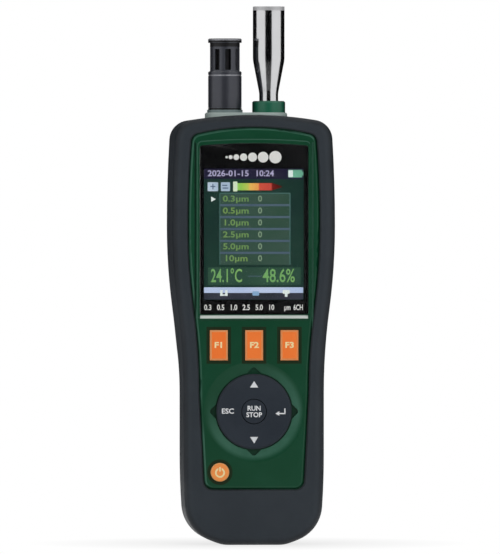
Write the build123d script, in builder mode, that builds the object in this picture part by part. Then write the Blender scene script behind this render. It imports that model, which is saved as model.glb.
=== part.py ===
"""Handheld airborne particle counter with an air sampling probe and a climate sensor.

Units are millimetres. +Z is up, the display faces -Y and +X is on the right seen from the front.
The origin is the centre of the flat foot, so the counter stands upright on Z = 0.
"""

from build123d import *
import os

os.makedirs("parts", exist_ok=True)

# ---------------------------------------------------------------------------
# Driving dimensions: the body
# ---------------------------------------------------------------------------
body_height = 192.2  # top of the rubber crown
crown_drop = 3.6  # how far the crown falls from the middle to the shoulders
crown_round = 9.0
shoulder_half = 34.9
head_half = 36.5
head_wide_at = 142.5
handle_half = 31.5
handle_base = 40.0
handle_top = 68.0
heel_half = 30.0
heel_rise = 7.8
heel_round = 17.0
foot_half = 13.5
foot_round = 15.0
sole_radius = 55.0
front_y = -27.0
head_back = 27.0
handle_back = 13.0
neck_low = 66.0
neck_high = 98.0
front_round = 4.4
back_round = 6.5
rubber_wall = 2.0
housing_wall = 2.0
split_y = -10.0
boot_fit = 0.1

# The panels that show through the rubber grip
rim_width = 6.9
rim_top = 5.4
panel_foot = 24.8
panel_foot_taper = 2.2
back_panel_foot = 8.6
panel_corner = 4.0
panel_gap = 0.4
panel_drop = 0.6
panel_edge_round = 1.0
lip_bevel = 0.6
groove_x = 26.3
groove_low = 82.0
groove_high = 180.0
groove_width = 0.7
groove_depth = 0.45

# Display
window_width = 48.5
window_foot = 103.1
window_side_top = 178.4
window_arch = 1.1
window_corner = 1.2
window_thick = 1.5
window_sunk = 0.5
window_fit = 0.15
window_edge = 0.3
window_ledge = 1.3
bezel_side = 1.3
bezel_top = 2.0
bezel_foot = 2.7
bezel_rise = 0.7
bezel_bevel = 0.45
sill_height = 1.9
lcd_view_width = 44.6
lcd_view_height = 58.5
lcd_view_z = 138.9
lcd_width = 50.0
lcd_height = 69.2
lcd_thick = 2.5
gasket_thick = 0.6
gasket_width = 1.6
frame_wall = 1.1
frame_floor = 1.0
frame_grip = 2.0
lcd_fit = 0.1

# Main board and keys
board_thick = 1.6
board_inset = 5.8
board_foot = 20.5
board_top = 171.5
mat_thick = 1.0
mat_half = 23.0
mat_gap = 1.0
mat_foot = 23.0
dome_height = 0.6
dome_radius = 2.2
key_gap = 0.2
key_travel = 0.7
key_rest_gap = 0.8
key_flange = 1.0
key_flange_thick = 1.0
key_stem_radius = 2.0
function_key_width = 8.0
function_key_height = 13.5
function_key_pitch = 15.8
function_key_z = 89.3
function_key_rise = 1.5
function_key_bevel = 0.8
power_key_x = -15.3
power_key_z = 32.6
power_key_radius = 4.2
power_key_rise = 1.1
nav_z = 59.7
nav_radius = 16.8
nav_recess_gap = 0.55
nav_recess_depth = 1.5
nav_lobe_reach = 19.7
nav_lobe_round = 1.5
nav_dish_radius = 22.5
nav_dish_depth = 0.6
nav_rise = 1.0
nav_hollow = 0.6
nav_hollow_share = 0.8
nav_edge = 0.8
nav_nub_gap = 0.7
nav_plate_gap = 1.0
nav_sleeve_radius = 7.6
nav_sleeve_gap = 0.8
nav_flange_radius = 10.5
nav_flange_gap = 0.7
nav_flange_thick = 1.0
nav_nub_radius = 1.3
nav_nub_circle = 9.0
web_gap = 0.4
web_width = 3.6
web_thick = 0.8
run_key_radius = 5.4
run_key_gap = 0.3
run_key_round = 0.25
run_flange = 1.4
run_flange_thick = 0.6

# Screws
board_boss_radius = 2.4
board_boss_room = 1.3  # between the upper bosses and the head's inner wall
board_screw_low_x = 21.5
board_screw_low_z = 24.5
board_screw_high_z = 160.0
board_screw_radius = 0.95
board_screw_head = 1.9
board_screw_bite = 3.4
board_screw_head_thick = 1.4
screw_fit = 0.05
housing_screw_low_x = 18.0
housing_screw_low_z = 13.5
housing_screw_side = 11.5  # from the shoulder's side
housing_screw_drop = 14.3  # from the top of the body
housing_boss_radius = 3.0
housing_post_radius = 4.2
housing_screw_radius = 1.25
housing_screw_head = 2.5
housing_screw_head_thick = 2.0
housing_screw_bore = 2.9
housing_screw_web = 6.0
housing_screw_bite = 9.0

# Top plinth, sampling probe and climate sensor
plinth_x = -2.0
plinth_length = 37.0
plinth_depth = 22.0
plinth_seat = 191.0
plinth_pad_foot = 187.0
plinth_thick = 2.4
plinth_bevel = 0.6
plinth_gap = 0.3
probe_x = 8.2
probe_top = 241.0
probe_mouth_radius = 7.1
probe_straight = 24.0
probe_cone = 14.8
probe_neck_radius = 4.25
probe_bend = 12.0
probe_wall = 0.7
probe_spigot_radius = 3.0
probe_bore_radius = 1.8
probe_spigot_foot = 178.0
collar_radius = 7.4
collar_height = 5.2
collar_bevel = 0.6
seal_radius = 0.9
seal_fit = 0.06
climate_x = -11.5
climate_base_radius = 7.5
climate_base_height = 18.5
climate_spigot_radius = 5.0
climate_spigot_foot = 183.0
climate_bore_radius = 3.0
climate_groove_depth = 0.35
climate_groove_width = 0.6
climate_groove_inset = 1.8
cage_radius = 6.65
cage_wall = 0.9
cage_slot_height = 9.4
cage_slot_width = 2.7
cage_slots = 8
cage_phase = 9.5
cage_foot = 0.6
cage_band = 2.8
cage_cap_radius = 7.5
cage_cap_thick = 1.9
cage_cap_bevel = 0.4
element_width = 7.0
element_height = 9.0
element_thick = 0.8
chip_size = 3.0
chip_thick = 1.0
nut_thick = 2.6
nut_across = 12.5

# Rear fittings
bush_z = 112.0
bush_radius = 4.5
bush_length = 9.0
bush_bore_radius = 2.6
bush_bore_length = 8.0
bush_boss_radius = 6.5
bush_sunk = 0.2
camera_z = 166.0
camera_ring_radius = 8.5
camera_ring_bore = 5.2
camera_ring_rise = 0.6
camera_ring_bevel = 0.6
camera_sleeve_radius = 7.0
camera_window_radius = 6.2
camera_window_thick = 1.0
camera_barrel_radius = 4.0
camera_barrel_length = 6.0
camera_base_size = 9.0
camera_lens_sphere = 4.5
camera_lens_depth = 1.2
camera_base_thick = 2.0
camera_board_width = 38.0
camera_board_height = 14.0
camera_board_thick = 1.2
lamp_x = 15.0
lamp_radius = 2.6
lamp_rise = 0.5
led_size = 3.0
led_thick = 1.0
led_gap = 0.4
camera_post_x = 9.7
camera_post_radius = 1.8
door_half = 20.4
door_foot = 18.6
door_top = 64.4
door_corner = 3.0
door_thick = 2.2
door_gap = 0.2
door_grip_width = 16.0
door_grip_pitch = 2.2
door_grip_count = 5
door_grip_z = 26.0
door_screw_z = 60.6
door_screw_depth = 6.0
door_screw_bore = 1.6
door_screw_head_thick = 1.2
door_slot_width = 0.8
vent_z = 138.0
vent_pitch = 2.6
vent_count = 7
vent_length = 8.0
vent_width = 1.2
bay_half = 17.0
bay_foot = 20.6
bay_top = 55.6
bay_floor = -10.0
bay_wall = 1.4
pack_gap = 0.3
pack_round = 2.0
contact_thick = 0.25
contact_width = 3.0
contact_x = 8.0

# Sampling train inside the head
chamber_left = -12.0
chamber_side_room = 2.3  # between the mounting plate and the head's inner wall
chamber_front = -9.0
chamber_back = 9.0
chamber_foot = 128.0
chamber_top = 154.0
chamber_plate_thick = 2.0
chamber_plate_reach = 5.0
cover_thick = 1.5
cover_screw_bite = 6.0
cover_screw_head = 0.7
cover_screw_inset = 3.5
nipple_radius = 3.0
nipple_length = 2.5
tube_wall = 1.3
beam_radius = 2.5
laser_radius = 4.4
laser_length = 18.0
laser_seat = 6.0
lens_radius = 3.6
lens_thick = 1.6
trap_length = 5.0
trap_rim = 0.8
mirror_radius = 6.5
mirror_thick = 2.4
mirror_hollow = 14.0
mirror_y = 7.4
mirror_dip = 1.3
detector_radius = 4.0
detector_length = 3.6
sensor_board_thick = 1.2
sensor_board_standoff = 0.8
sensor_board_size = 22.0
motor_radius = 8.5
motor_length = 24.0
motor_y = -2.5
motor_z = 112.0
motor_face_x = -2.0
motor_bore = 2.0
pump_length = 20.0
pump_wall = 2.0
shaft_radius = 1.0
shaft_fit = 0.05
eccentric_radius = 4.0
eccentric_offset = 1.0
eccentric_thick = 3.0
saddle_spots = (-20.0, -9.5)
saddle_thick = 1.6
saddle_gap = 0.1
filter_radius = 6.5
filter_height = 17.0
filter_round = 1.2
tube_gap = 0.6

# Ports under the side flap
flap_low = 36.5
flap_high = 67.0
flap_front = -20.4
flap_back = -8.6
flap_thick = 1.7
flap_bevel = 0.4
flap_gap = 0.3
flap_bead_radius = 0.95
flap_pin_radius = 0.5
flap_pin_reach = 1.6
port_fit = 0.25
usb_z = 62.0
usb_width = 8.0
usb_height = 3.0
usb_depth = 7.0
usb_wall = 0.4
jack_z = 53.0
jack_size = 6.6
jack_bore = 2.3
jack_depth = 9.0
jack_pin = 0.7
slot_z = 43.6
slot_width = 2.0
card_socket_depth = 15.0
card_socket_height = 11.0
shield_size = 18.0
shield_thick = 1.8
buzzer_radius = 6.0
buzzer_height = 4.6
shield_x = 11.0
shield_z = 84.0
buzzer_z = 74.0

# ---------------------------------------------------------------------------
# Levels worked out from the driving dimensions
# ---------------------------------------------------------------------------
cavity_inset = rubber_wall + housing_wall
panel_y = front_y + panel_drop
inner_y = front_y + cavity_inset
window_y = panel_y + window_sunk
window_back_y = window_y + window_thick
bezel_y = panel_y - bezel_rise
lcd_front_y = inner_y + gasket_thick
lcd_back_y = lcd_front_y + lcd_thick
board_y = lcd_back_y + frame_floor
board_back_y = board_y + board_thick
dome_y = board_y - dome_height
stem_y = dome_y - key_rest_gap
head_inner_y = head_back - cavity_inset
handle_inner_y = handle_back - cavity_inset
head_panel_y = head_back - panel_drop
handle_panel_y = handle_back - panel_drop
plinth_top = plinth_seat + plinth_thick
port_reach = handle_half - cavity_inset
chamber_right = head_half - cavity_inset - chamber_plate_reach - chamber_side_room
board_screw_high_x = head_half - cavity_inset - board_boss_radius - board_boss_room
board_screw_spots = [
    (-board_screw_low_x, board_screw_low_z),
    (board_screw_low_x, board_screw_low_z),
    (-board_screw_high_x, board_screw_high_z),
    (board_screw_high_x, board_screw_high_z),
]
housing_screw_high_x = shoulder_half - housing_screw_side
housing_screw_high_z = body_height - housing_screw_drop
housing_screw_spots = [
    (-housing_screw_low_x, housing_screw_low_z),
    (housing_screw_low_x, housing_screw_low_z),
    (-housing_screw_high_x, housing_screw_high_z),
    (housing_screw_high_x, housing_screw_high_z),
]
cover_spots = [
    (x, z)
    for z in (chamber_foot + cover_screw_inset, chamber_top - cover_screw_inset)
    for x in (chamber_left + cover_screw_inset, chamber_right - cover_screw_inset)
]


def front_plane(y):
    """Upright plane at depth y whose sketches extrude towards the front."""
    return Plane.XZ.offset(-y)


def wide_corners(outline):
    """Corners of the outline's sides, grouped from the lowest pair to the highest."""
    return outline.vertices().filter_by(lambda v: abs(v.X) > heel_half - 2 * cavity_inset).group_by(Axis.Y)


def body_outline(inset):
    """Front outline of the body, taken in from the outside by inset."""
    shoulder = (shoulder_half, body_height - crown_drop)
    waist = ((handle_half + head_half) / 2, (handle_top + head_wide_at) / 2)
    with BuildSketch() as outline:
        with BuildLine():
            Line((0, 0), (foot_half, 0))
            RadiusArc((foot_half, 0), (heel_half, heel_rise), -sole_radius)
            TangentArc((handle_half, handle_base), (heel_half, heel_rise), tangent=(0, -1))
            Line((handle_half, handle_base), (handle_half, handle_top))
            TangentArc((handle_half, handle_top), waist, tangent=(0, 1))
            TangentArc((head_half, head_wide_at), waist, tangent=(0, -1))
            TangentArc((head_half, head_wide_at), shoulder, tangent=(0, 1))
            TangentArc((0, body_height), shoulder, tangent=(1, 0))
            mirror(about=Plane.YZ)
        make_face()
        if inset:
            offset(amount=-inset, mode=Mode.REPLACE)
        fillet(wide_corners(outline)[-1], crown_round - inset)
        fillet(wide_corners(outline)[0], heel_round - inset)
        fillet(outline.vertices().group_by(Axis.Y)[0], foot_round)
    return outline.sketch


def body_block(inset):
    """Solid body with its thin handle and deep head, taken in by inset on every side."""
    low = (handle_back - inset, neck_low)
    high = (head_back - inset, neck_high)
    bend = ((low[0] + high[0]) / 2, (low[1] + high[1]) / 2)
    with BuildPart() as block:
        with BuildSketch(front_plane(head_back - inset)):
            add(body_outline(inset))
        extrude(amount=head_back - front_y - 2 * inset)
        with BuildSketch(Plane.YZ):
            with BuildLine():
                Line((low[0], -1), low)
                TangentArc(low, bend, tangent=(0, 1))
                TangentArc(high, bend, tangent=(0, -1))
                Polyline(high, (high[0] + 1, high[1]), (high[0] + 1, -1), (low[0], -1))
            make_face()
        extrude(amount=head_half + 1, both=True, mode=Mode.SUBTRACT)
        fillet(block.faces().sort_by(Axis.Y)[0].edges(), front_round - inset)
        back_edges = block.edges().filter_by(lambda e: e.center().Y > low[0] - cavity_inset)
        fillet(back_edges, back_round - inset)
    return block.part


def panel_outline(side_inset, top_inset, foot_z):
    """Outline that keeps side_inset from the flared sides and stands on a straight foot."""
    low_half = handle_half - side_inset
    high_half = head_half - side_inset
    waist = ((low_half + high_half) / 2, (handle_top + head_wide_at) / 2)
    shoulder = (shoulder_half - side_inset, body_height - crown_drop - top_inset)
    with BuildSketch() as outline:
        with BuildLine():
            Line((0, foot_z), (low_half - panel_foot_taper, foot_z))
            Line((low_half - panel_foot_taper, foot_z), (low_half, handle_top))
            TangentArc((low_half, handle_top), waist, tangent=(0, 1))
            TangentArc((high_half, head_wide_at), waist, tangent=(0, -1))
            TangentArc((high_half, head_wide_at), shoulder, tangent=(0, 1))
            TangentArc((0, body_height - top_inset), shoulder, tangent=(1, 0))
            mirror(about=Plane.YZ)
        make_face()
        wide = outline.vertices().filter_by(lambda v: abs(v.X) > low_half / 2)
        fillet(wide.group_by(Axis.Y)[0] + wide.group_by(Axis.Y)[-1], panel_corner)
    return outline.sketch


def window_outline(side, top, foot, corner):
    """Outline of the display window, grown by side, top and foot."""
    half = window_width / 2 + side
    side_top = window_side_top + top
    with BuildSketch() as outline:
        with BuildLine():
            Line((-half, side_top), (-half, window_foot - foot))
            Line((-half, window_foot - foot), (half, window_foot - foot))
            Line((half, window_foot - foot), (half, side_top))
            ThreePointArc((half, side_top), (0, side_top + window_arch), (-half, side_top))
        make_face()
        fillet(outline.vertices(), corner)
    return outline.sketch


def plinth_outline(gap):
    """Stadium outline of the plinth under the sensors, grown by gap."""
    with BuildSketch() as outline:
        with Locations((plinth_x, 0)):
            SlotOverall(plinth_length + 2 * gap, plinth_depth + 2 * gap)
    return outline.sketch


outer_block = body_block(0)
boot_core = body_block(rubber_wall - boot_fit)
housing_block = body_block(rubber_wall)
cavity_block = body_block(cavity_inset)
back_pad_block = body_block(panel_drop)

# ---------------------------------------------------------------------------
# Rubber grip: a boot that covers the sides, the crown and the foot
# ---------------------------------------------------------------------------
with BuildPart() as rubber_grip:
    add(outer_block)
    add(boot_core, mode=Mode.SUBTRACT)
    with BuildSketch(front_plane(inner_y)):
        add(panel_outline(rim_width, rim_top, panel_foot))
    extrude(amount=cavity_inset + 1, mode=Mode.SUBTRACT)
    with BuildSketch(front_plane(0)):
        add(panel_outline(rim_width, rim_top, back_panel_foot))
    extrude(amount=-head_back - 1, mode=Mode.SUBTRACT)
    with BuildSketch(Plane.XY.offset(plinth_seat - cavity_inset)):
        add(plinth_outline(plinth_gap))
    extrude(amount=2 * cavity_inset, mode=Mode.SUBTRACT)
    lip_face = rubber_grip.faces().sort_by(Axis.Y)[0]
    chamfer(lip_face.edges() - lip_face.outer_wire().edges(), lip_bevel)
    # Side opening for the port flap, with a round-backed groove for its hinge bead
    with BuildSketch(Plane.YZ.offset(handle_half - 2 * rubber_wall)):
        with Locations(((flap_front + flap_back) / 2, (flap_low + flap_high) / 2)):
            Rectangle(flap_back - flap_front + 2 * flap_gap, flap_high - flap_low + 2 * flap_gap)
    extrude(amount=3 * rubber_wall, mode=Mode.SUBTRACT)
    flap_axis_x = handle_half - flap_bead_radius - 0.1
    flap_axis_y = flap_back - flap_bead_radius
    with BuildSketch(Plane.XY.offset(flap_low - flap_pin_reach)):
        with Locations((flap_axis_x, flap_axis_y)):
            Circle(flap_pin_radius + shaft_fit)
    extrude(amount=flap_high - flap_low + 2 * flap_pin_reach, mode=Mode.SUBTRACT)
rubber_grip.part.label = "rubber_grip"
export_step(rubber_grip.part, "parts/rubber_grip.step")

# ---------------------------------------------------------------------------
# Front housing: the green shell with the raised panel, bezel and key openings
# ---------------------------------------------------------------------------
function_key_spots = [(function_key_pitch * i, function_key_z) for i in (-1, 0, 1)]
nav_nub_spots = [(0, nav_nub_circle), (0, -nav_nub_circle), (nav_nub_circle, 0), (-nav_nub_circle, 0)]
nav_axis = Axis((0, 0, nav_z), (0, 1, 0))
recess_radius = nav_radius + nav_recess_gap
recess_y = panel_y + nav_recess_depth

with BuildPart() as front_housing:
    add(housing_block)
    add(cavity_block, mode=Mode.SUBTRACT)
    with BuildSketch(front_plane(inner_y)):
        add(panel_outline(rim_width + panel_gap, rim_top + panel_gap, panel_foot + panel_gap))
    extrude(amount=inner_y - panel_y)
    panel_face = front_housing.faces().sort_by(Axis.Y)[0]
    fillet(panel_face.edges(), panel_edge_round)
    # Keep only the part in front of the parting plane
    with BuildSketch(front_plane(head_back)):
        Rectangle(4 * head_half, 3 * body_height)
    extrude(amount=head_back - split_y, mode=Mode.SUBTRACT)
    # Raised bezel, window pocket, display opening and sloping sill
    with BuildSketch(front_plane(panel_y)):
        add(window_outline(bezel_side, bezel_top, bezel_foot, window_corner + bezel_side))
    extrude(amount=bezel_rise)
    chamfer(front_housing.faces().sort_by(Axis.Y)[0].edges(), bezel_bevel)
    with BuildSketch(front_plane(window_back_y)):
        add(window_outline(window_fit, window_fit, window_fit, window_corner))
    extrude(amount=window_back_y - front_y + bezel_rise, mode=Mode.SUBTRACT)
    with BuildSketch(front_plane(inner_y)):
        with Locations((0, lcd_view_z)):
            Rectangle(lcd_view_width + window_ledge, lcd_view_height + window_ledge)
    extrude(amount=cavity_inset, mode=Mode.SUBTRACT)
    with BuildSketch(Plane.YZ):
        Polygon(
            (bezel_y, window_foot - sill_height),
            (window_y, window_foot),
            (bezel_y, window_foot),
            align=None,
        )
    extrude(amount=window_width / 2, both=True, mode=Mode.SUBTRACT)
    # Engraved grooves beside the window
    groove_length = groove_high - groove_low
    groove_middle = groove_low + groove_length / 2
    with BuildSketch(front_plane(panel_y + groove_depth)):
        with Locations((-groove_x, groove_middle), (groove_x, groove_middle)):
            SlotOverall(groove_length, groove_width, rotation=90)
    extrude(amount=groove_depth, mode=Mode.SUBTRACT)
    # Dished ring and recess for the navigation pad
    with BuildSketch(Plane.XY.offset(nav_z)):
        Polygon(
            (0, panel_y),
            (nav_dish_radius, panel_y),
            (recess_radius, panel_y + nav_dish_depth),
            (0, panel_y + nav_dish_depth),
            align=None,
        )
    revolve(axis=nav_axis, mode=Mode.SUBTRACT)
    with BuildSketch(front_plane(recess_y)):
        with Locations((0, nav_z)):
            lobe_side = (nav_lobe_reach + nav_lobe_round * (2 ** 0.5 - 1)) * 2 ** 0.5
            RectangleRounded(lobe_side, lobe_side, nav_lobe_round, rotation=45)
            Circle(recess_radius)
    extrude(amount=nav_recess_depth, mode=Mode.SUBTRACT)
    with BuildSketch(front_plane(inner_y)):
        with Locations((0, nav_z)):
            Circle(nav_sleeve_radius + nav_sleeve_gap)
        with Locations((power_key_x, power_key_z)):
            Circle(power_key_radius + key_gap)
        with Locations(*function_key_spots):
            Rectangle(function_key_width + 2 * key_gap, function_key_height + 2 * key_gap)
    extrude(amount=cavity_inset, mode=Mode.SUBTRACT)
    # Bosses for the board screws and for the housing screws
    with BuildSketch(front_plane(board_y)):
        with Locations(*board_screw_spots):
            Circle(board_boss_radius)
            Circle(board_screw_radius + screw_fit, mode=Mode.SUBTRACT)
    extrude(amount=board_y - inner_y)
    with BuildSketch(front_plane(split_y)):
        with Locations(*housing_screw_spots):
            Circle(housing_boss_radius)
    extrude(amount=split_y - inner_y)
    with BuildSketch(front_plane(split_y)):
        with Locations(*housing_screw_spots):
            Circle(housing_screw_radius + screw_fit)
    extrude(amount=housing_screw_bite, mode=Mode.SUBTRACT)
    # Windows for the ports
    with BuildSketch(Plane.YZ.offset(handle_half - cavity_inset - 1)):
        with Locations((board_back_y + jack_size / 2, jack_z)):
            Rectangle(jack_size + 2 * port_fit, jack_size + 2 * port_fit)
        with Locations((board_back_y + usb_height / 2, usb_z)):
            Rectangle(usb_height + 2 * port_fit, usb_width + 2 * port_fit)
        with Locations((board_back_y + slot_width / 2, slot_z)):
            Rectangle(slot_width + 2 * port_fit, card_socket_height + 2 * port_fit)
    extrude(amount=cavity_inset + 1, mode=Mode.SUBTRACT)
front_housing.part.label = "front_housing"
export_step(front_housing.part, "parts/front_housing.step")

# ---------------------------------------------------------------------------
# Rear housing: the deep shell with the battery bay, posts and screw wells
# ---------------------------------------------------------------------------
bay_height = bay_top - bay_foot
bay_z = (bay_top + bay_foot) / 2
door_height = door_top - door_foot
door_z = (door_top + door_foot) / 2
door_inner_y = handle_panel_y - door_thick
camera_base_y = head_inner_y - camera_barrel_length - camera_base_thick
chamber_plate_y = chamber_back + chamber_plate_thick
chamber_mid_z = (chamber_foot + chamber_top) / 2
plate_spots = [
    (x, z)
    for x in (chamber_left - chamber_plate_reach / 2, chamber_right + chamber_plate_reach / 2)
    for z in (chamber_foot + chamber_plate_reach, chamber_top - chamber_plate_reach)
]
camera_post_spots = [(-camera_post_x, camera_z), (camera_post_x, camera_z)]
lamp_spots = [(-lamp_x, camera_z), (lamp_x, camera_z)]
seal_seat = plinth_seat - 2 * seal_radius - seal_fit
screw_seat_y = split_y + housing_screw_web

with BuildPart() as back_pad:
    with BuildSketch(front_plane(head_back)):
        add(panel_outline(rim_width + panel_gap, rim_top + panel_gap, back_panel_foot + panel_gap))
    extrude(amount=head_back)
    add(back_pad_block, mode=Mode.INTERSECT)

with BuildPart() as rear_housing:
    add(housing_block)
    add(back_pad.part)
    add(cavity_block, mode=Mode.SUBTRACT)
    # Flat pad that carries the plinth, with the sensor openings and their seal seats
    with BuildSketch(Plane.XY.offset(plinth_pad_foot)):
        add(plinth_outline(0))
    extrude(amount=plinth_seat - plinth_pad_foot)
    with BuildSketch(Plane.XY.offset(plinth_pad_foot)):
        with Locations((probe_x, 0)):
            Circle(probe_spigot_radius + screw_fit)
        with Locations((climate_x, 0)):
            Circle(climate_spigot_radius + screw_fit)
    extrude(amount=plinth_seat - plinth_pad_foot, mode=Mode.SUBTRACT)
    with BuildSketch(Plane.XY.offset(seal_seat)):
        with Locations((probe_x, 0)):
            Circle(probe_spigot_radius + 2 * (seal_radius + seal_fit))
        with Locations((climate_x, 0)):
            Circle(climate_spigot_radius + 2 * (seal_radius + seal_fit))
    extrude(amount=plinth_seat - seal_seat, mode=Mode.SUBTRACT)
    # Keep only the part behind the parting plane
    with BuildSketch(front_plane(split_y)):
        Rectangle(4 * head_half, 3 * body_height)
    extrude(amount=split_y - front_y, mode=Mode.SUBTRACT)
    # Battery bay, its opening and the seat of the door
    with BuildSketch(front_plane(handle_inner_y)):
        with Locations((0, bay_z)):
            Rectangle(2 * (bay_half + bay_wall), bay_height + 2 * bay_wall)
    extrude(amount=handle_inner_y - bay_floor + bay_wall)
    with BuildSketch(front_plane(handle_back)):
        with Locations((0, bay_z)):
            Rectangle(2 * bay_half, bay_height)
    extrude(amount=handle_back - bay_floor, mode=Mode.SUBTRACT)
    with BuildSketch(front_plane(handle_back)):
        with Locations((0, door_z)):
            RectangleRounded(2 * (door_half + door_gap), door_height + 2 * door_gap, door_corner + door_gap)
    extrude(amount=handle_back - door_inner_y, mode=Mode.SUBTRACT)
    with BuildSketch(front_plane(handle_inner_y)):
        with Locations((0, door_screw_z)):
            Circle(housing_boss_radius)
    extrude(amount=door_screw_depth)
    with BuildSketch(front_plane(handle_back)):
        with Locations((0, door_screw_z)):
            Circle(housing_screw_radius + screw_fit)
    extrude(amount=handle_back - handle_inner_y + door_screw_depth - bay_wall, mode=Mode.SUBTRACT)
    # Posts and wells for the housing screws
    with BuildSketch(front_plane(handle_inner_y)):
        with Locations(*housing_screw_spots):
            Circle(housing_post_radius)
    extrude(amount=handle_inner_y - split_y)
    with BuildSketch(front_plane(head_inner_y)):
        with Locations(*housing_screw_spots[2:]):
            Circle(housing_post_radius)
    extrude(amount=head_inner_y - handle_inner_y)
    with BuildSketch(front_plane(head_back)):
        with Locations(*housing_screw_spots):
            Circle(housing_screw_bore)
    extrude(amount=head_back - screw_seat_y, mode=Mode.SUBTRACT)
    with BuildSketch(front_plane(screw_seat_y)):
        with Locations(*housing_screw_spots):
            Circle(housing_screw_radius + screw_fit)
    extrude(amount=housing_screw_web, mode=Mode.SUBTRACT)
    # Boss of the tripod bush
    with BuildSketch(front_plane(head_inner_y)):
        with Locations((0, bush_z)):
            Circle(bush_boss_radius)
    extrude(amount=head_inner_y - head_panel_y + bush_sunk + bush_length)
    with BuildSketch(front_plane(head_back)):
        with Locations((0, bush_z)):
            Circle(bush_radius + screw_fit)
    extrude(amount=head_back - head_panel_y + bush_sunk + bush_length, mode=Mode.SUBTRACT)
    # Posts for the camera board and the optical chamber
    with BuildSketch(front_plane(head_inner_y)):
        with Locations(*camera_post_spots):
            Circle(camera_post_radius)
    extrude(amount=head_inner_y - camera_base_y)
    with BuildSketch(front_plane(head_inner_y)):
        with Locations(*plate_spots):
            Circle(board_boss_radius)
            Circle(board_screw_radius + screw_fit, mode=Mode.SUBTRACT)
    extrude(amount=head_inner_y - chamber_plate_y)
    # Openings for the camera, its lamps and the exhaust air
    with BuildSketch(front_plane(head_back)):
        with Locations((0, camera_z)):
            Circle(camera_sleeve_radius + screw_fit)
        with Locations(*lamp_spots):
            Circle(lamp_radius + screw_fit)
        with Locations((0, vent_z)):
            with GridLocations(vent_pitch, 0, vent_count, 1):
                SlotOverall(vent_length, vent_width, rotation=90)
    extrude(amount=head_back - head_inner_y + 1, mode=Mode.SUBTRACT)
    # Saddles under the pump motor
    with BuildSketch(front_plane(head_inner_y)):
        with Locations(*[(x, motor_z) for x in saddle_spots]):
            Rectangle(saddle_thick, 2 * motor_radius)
    extrude(amount=head_inner_y - motor_y)
    with BuildSketch(Plane.YZ.offset(min(saddle_spots) - saddle_thick)):
        with Locations((motor_y, motor_z)):
            Circle(motor_radius + saddle_gap)
    extrude(amount=max(saddle_spots) - min(saddle_spots) + 2 * saddle_thick, mode=Mode.SUBTRACT)
rear_housing.part.label = "rear_housing"
export_step(rear_housing.part, "parts/rear_housing.step")

# ---------------------------------------------------------------------------
# Display stack
# ---------------------------------------------------------------------------
with BuildPart() as display_window:
    with BuildSketch(front_plane(window_back_y)):
        add(window_outline(0, 0, 0, window_corner))
    extrude(amount=window_thick)
    chamfer(display_window.faces().sort_by(Axis.Y)[0].edges(), window_edge)
display_window.part.label = "display_window"
export_step(display_window.part, "parts/display_window.step")

gasket_bore_width = lcd_view_width + window_ledge
gasket_bore_height = lcd_view_height + window_ledge
with BuildPart() as display_gasket:
    with BuildSketch(front_plane(lcd_front_y)):
        with Locations((0, lcd_view_z)):
            Rectangle(gasket_bore_width + 2 * gasket_width, gasket_bore_height + 2 * gasket_width)
            Rectangle(gasket_bore_width, gasket_bore_height, mode=Mode.SUBTRACT)
    extrude(amount=gasket_thick)
display_gasket.part.label = "display_gasket"
export_step(display_gasket.part, "parts/display_gasket.step")

with BuildPart() as lcd_panel:
    with BuildSketch(front_plane(lcd_back_y)):
        with Locations((0, lcd_view_z)):
            RectangleRounded(lcd_width, lcd_height, window_corner)
    extrude(amount=lcd_thick)
lcd_panel.part.label = "lcd_panel"
export_step(lcd_panel.part, "parts/lcd_panel.step")

lcd_tray_width = lcd_width + 2 * (lcd_fit + frame_wall)
lcd_tray_height = lcd_height + 2 * (lcd_fit + frame_wall)
with BuildPart() as lcd_frame:
    with BuildSketch(front_plane(board_y)):
        with Locations((0, lcd_view_z)):
            Rectangle(lcd_tray_width, lcd_tray_height)
    extrude(amount=frame_floor + frame_grip)
    with BuildSketch(front_plane(lcd_back_y)):
        with Locations((0, lcd_view_z)):
            Rectangle(lcd_width + 2 * lcd_fit, lcd_height + 2 * lcd_fit)
    extrude(amount=frame_grip, mode=Mode.SUBTRACT)
    with BuildSketch(front_plane(board_y)):
        with Locations((0, lcd_view_z)):
            Rectangle(lcd_view_width, lcd_view_height)
    extrude(amount=frame_floor, mode=Mode.SUBTRACT)
lcd_frame.part.label = "lcd_frame"
export_step(lcd_frame.part, "parts/lcd_frame.step")

# ---------------------------------------------------------------------------
# Main board and what it carries
# ---------------------------------------------------------------------------
with BuildPart() as main_board:
    with BuildSketch(front_plane(board_back_y)):
        add(panel_outline(board_inset, body_height - board_top, board_foot))
        with Locations(*board_screw_spots):
            Circle(board_screw_radius + 2 * screw_fit, mode=Mode.SUBTRACT)
    extrude(amount=board_thick)
main_board.part.label = "main_board"
export_step(main_board.part, "parts/main_board.step")

dome_spots = function_key_spots + [(power_key_x, power_key_z), (0, nav_z)]
dome_spots += [(x, nav_z + z) for x, z in nav_nub_spots]
with BuildPart() as dome_switches:
    with BuildSketch(front_plane(board_y)):
        with Locations(*dome_spots):
            Circle(dome_radius)
    extrude(amount=dome_height)
    chamfer(dome_switches.faces().filter_by(Axis.Y).group_by(Axis.Y)[0].edges(), dome_height / 2)
dome_switches.part.label = "dome_switches"
export_step(dome_switches.part, "parts/dome_switches.step")

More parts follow.
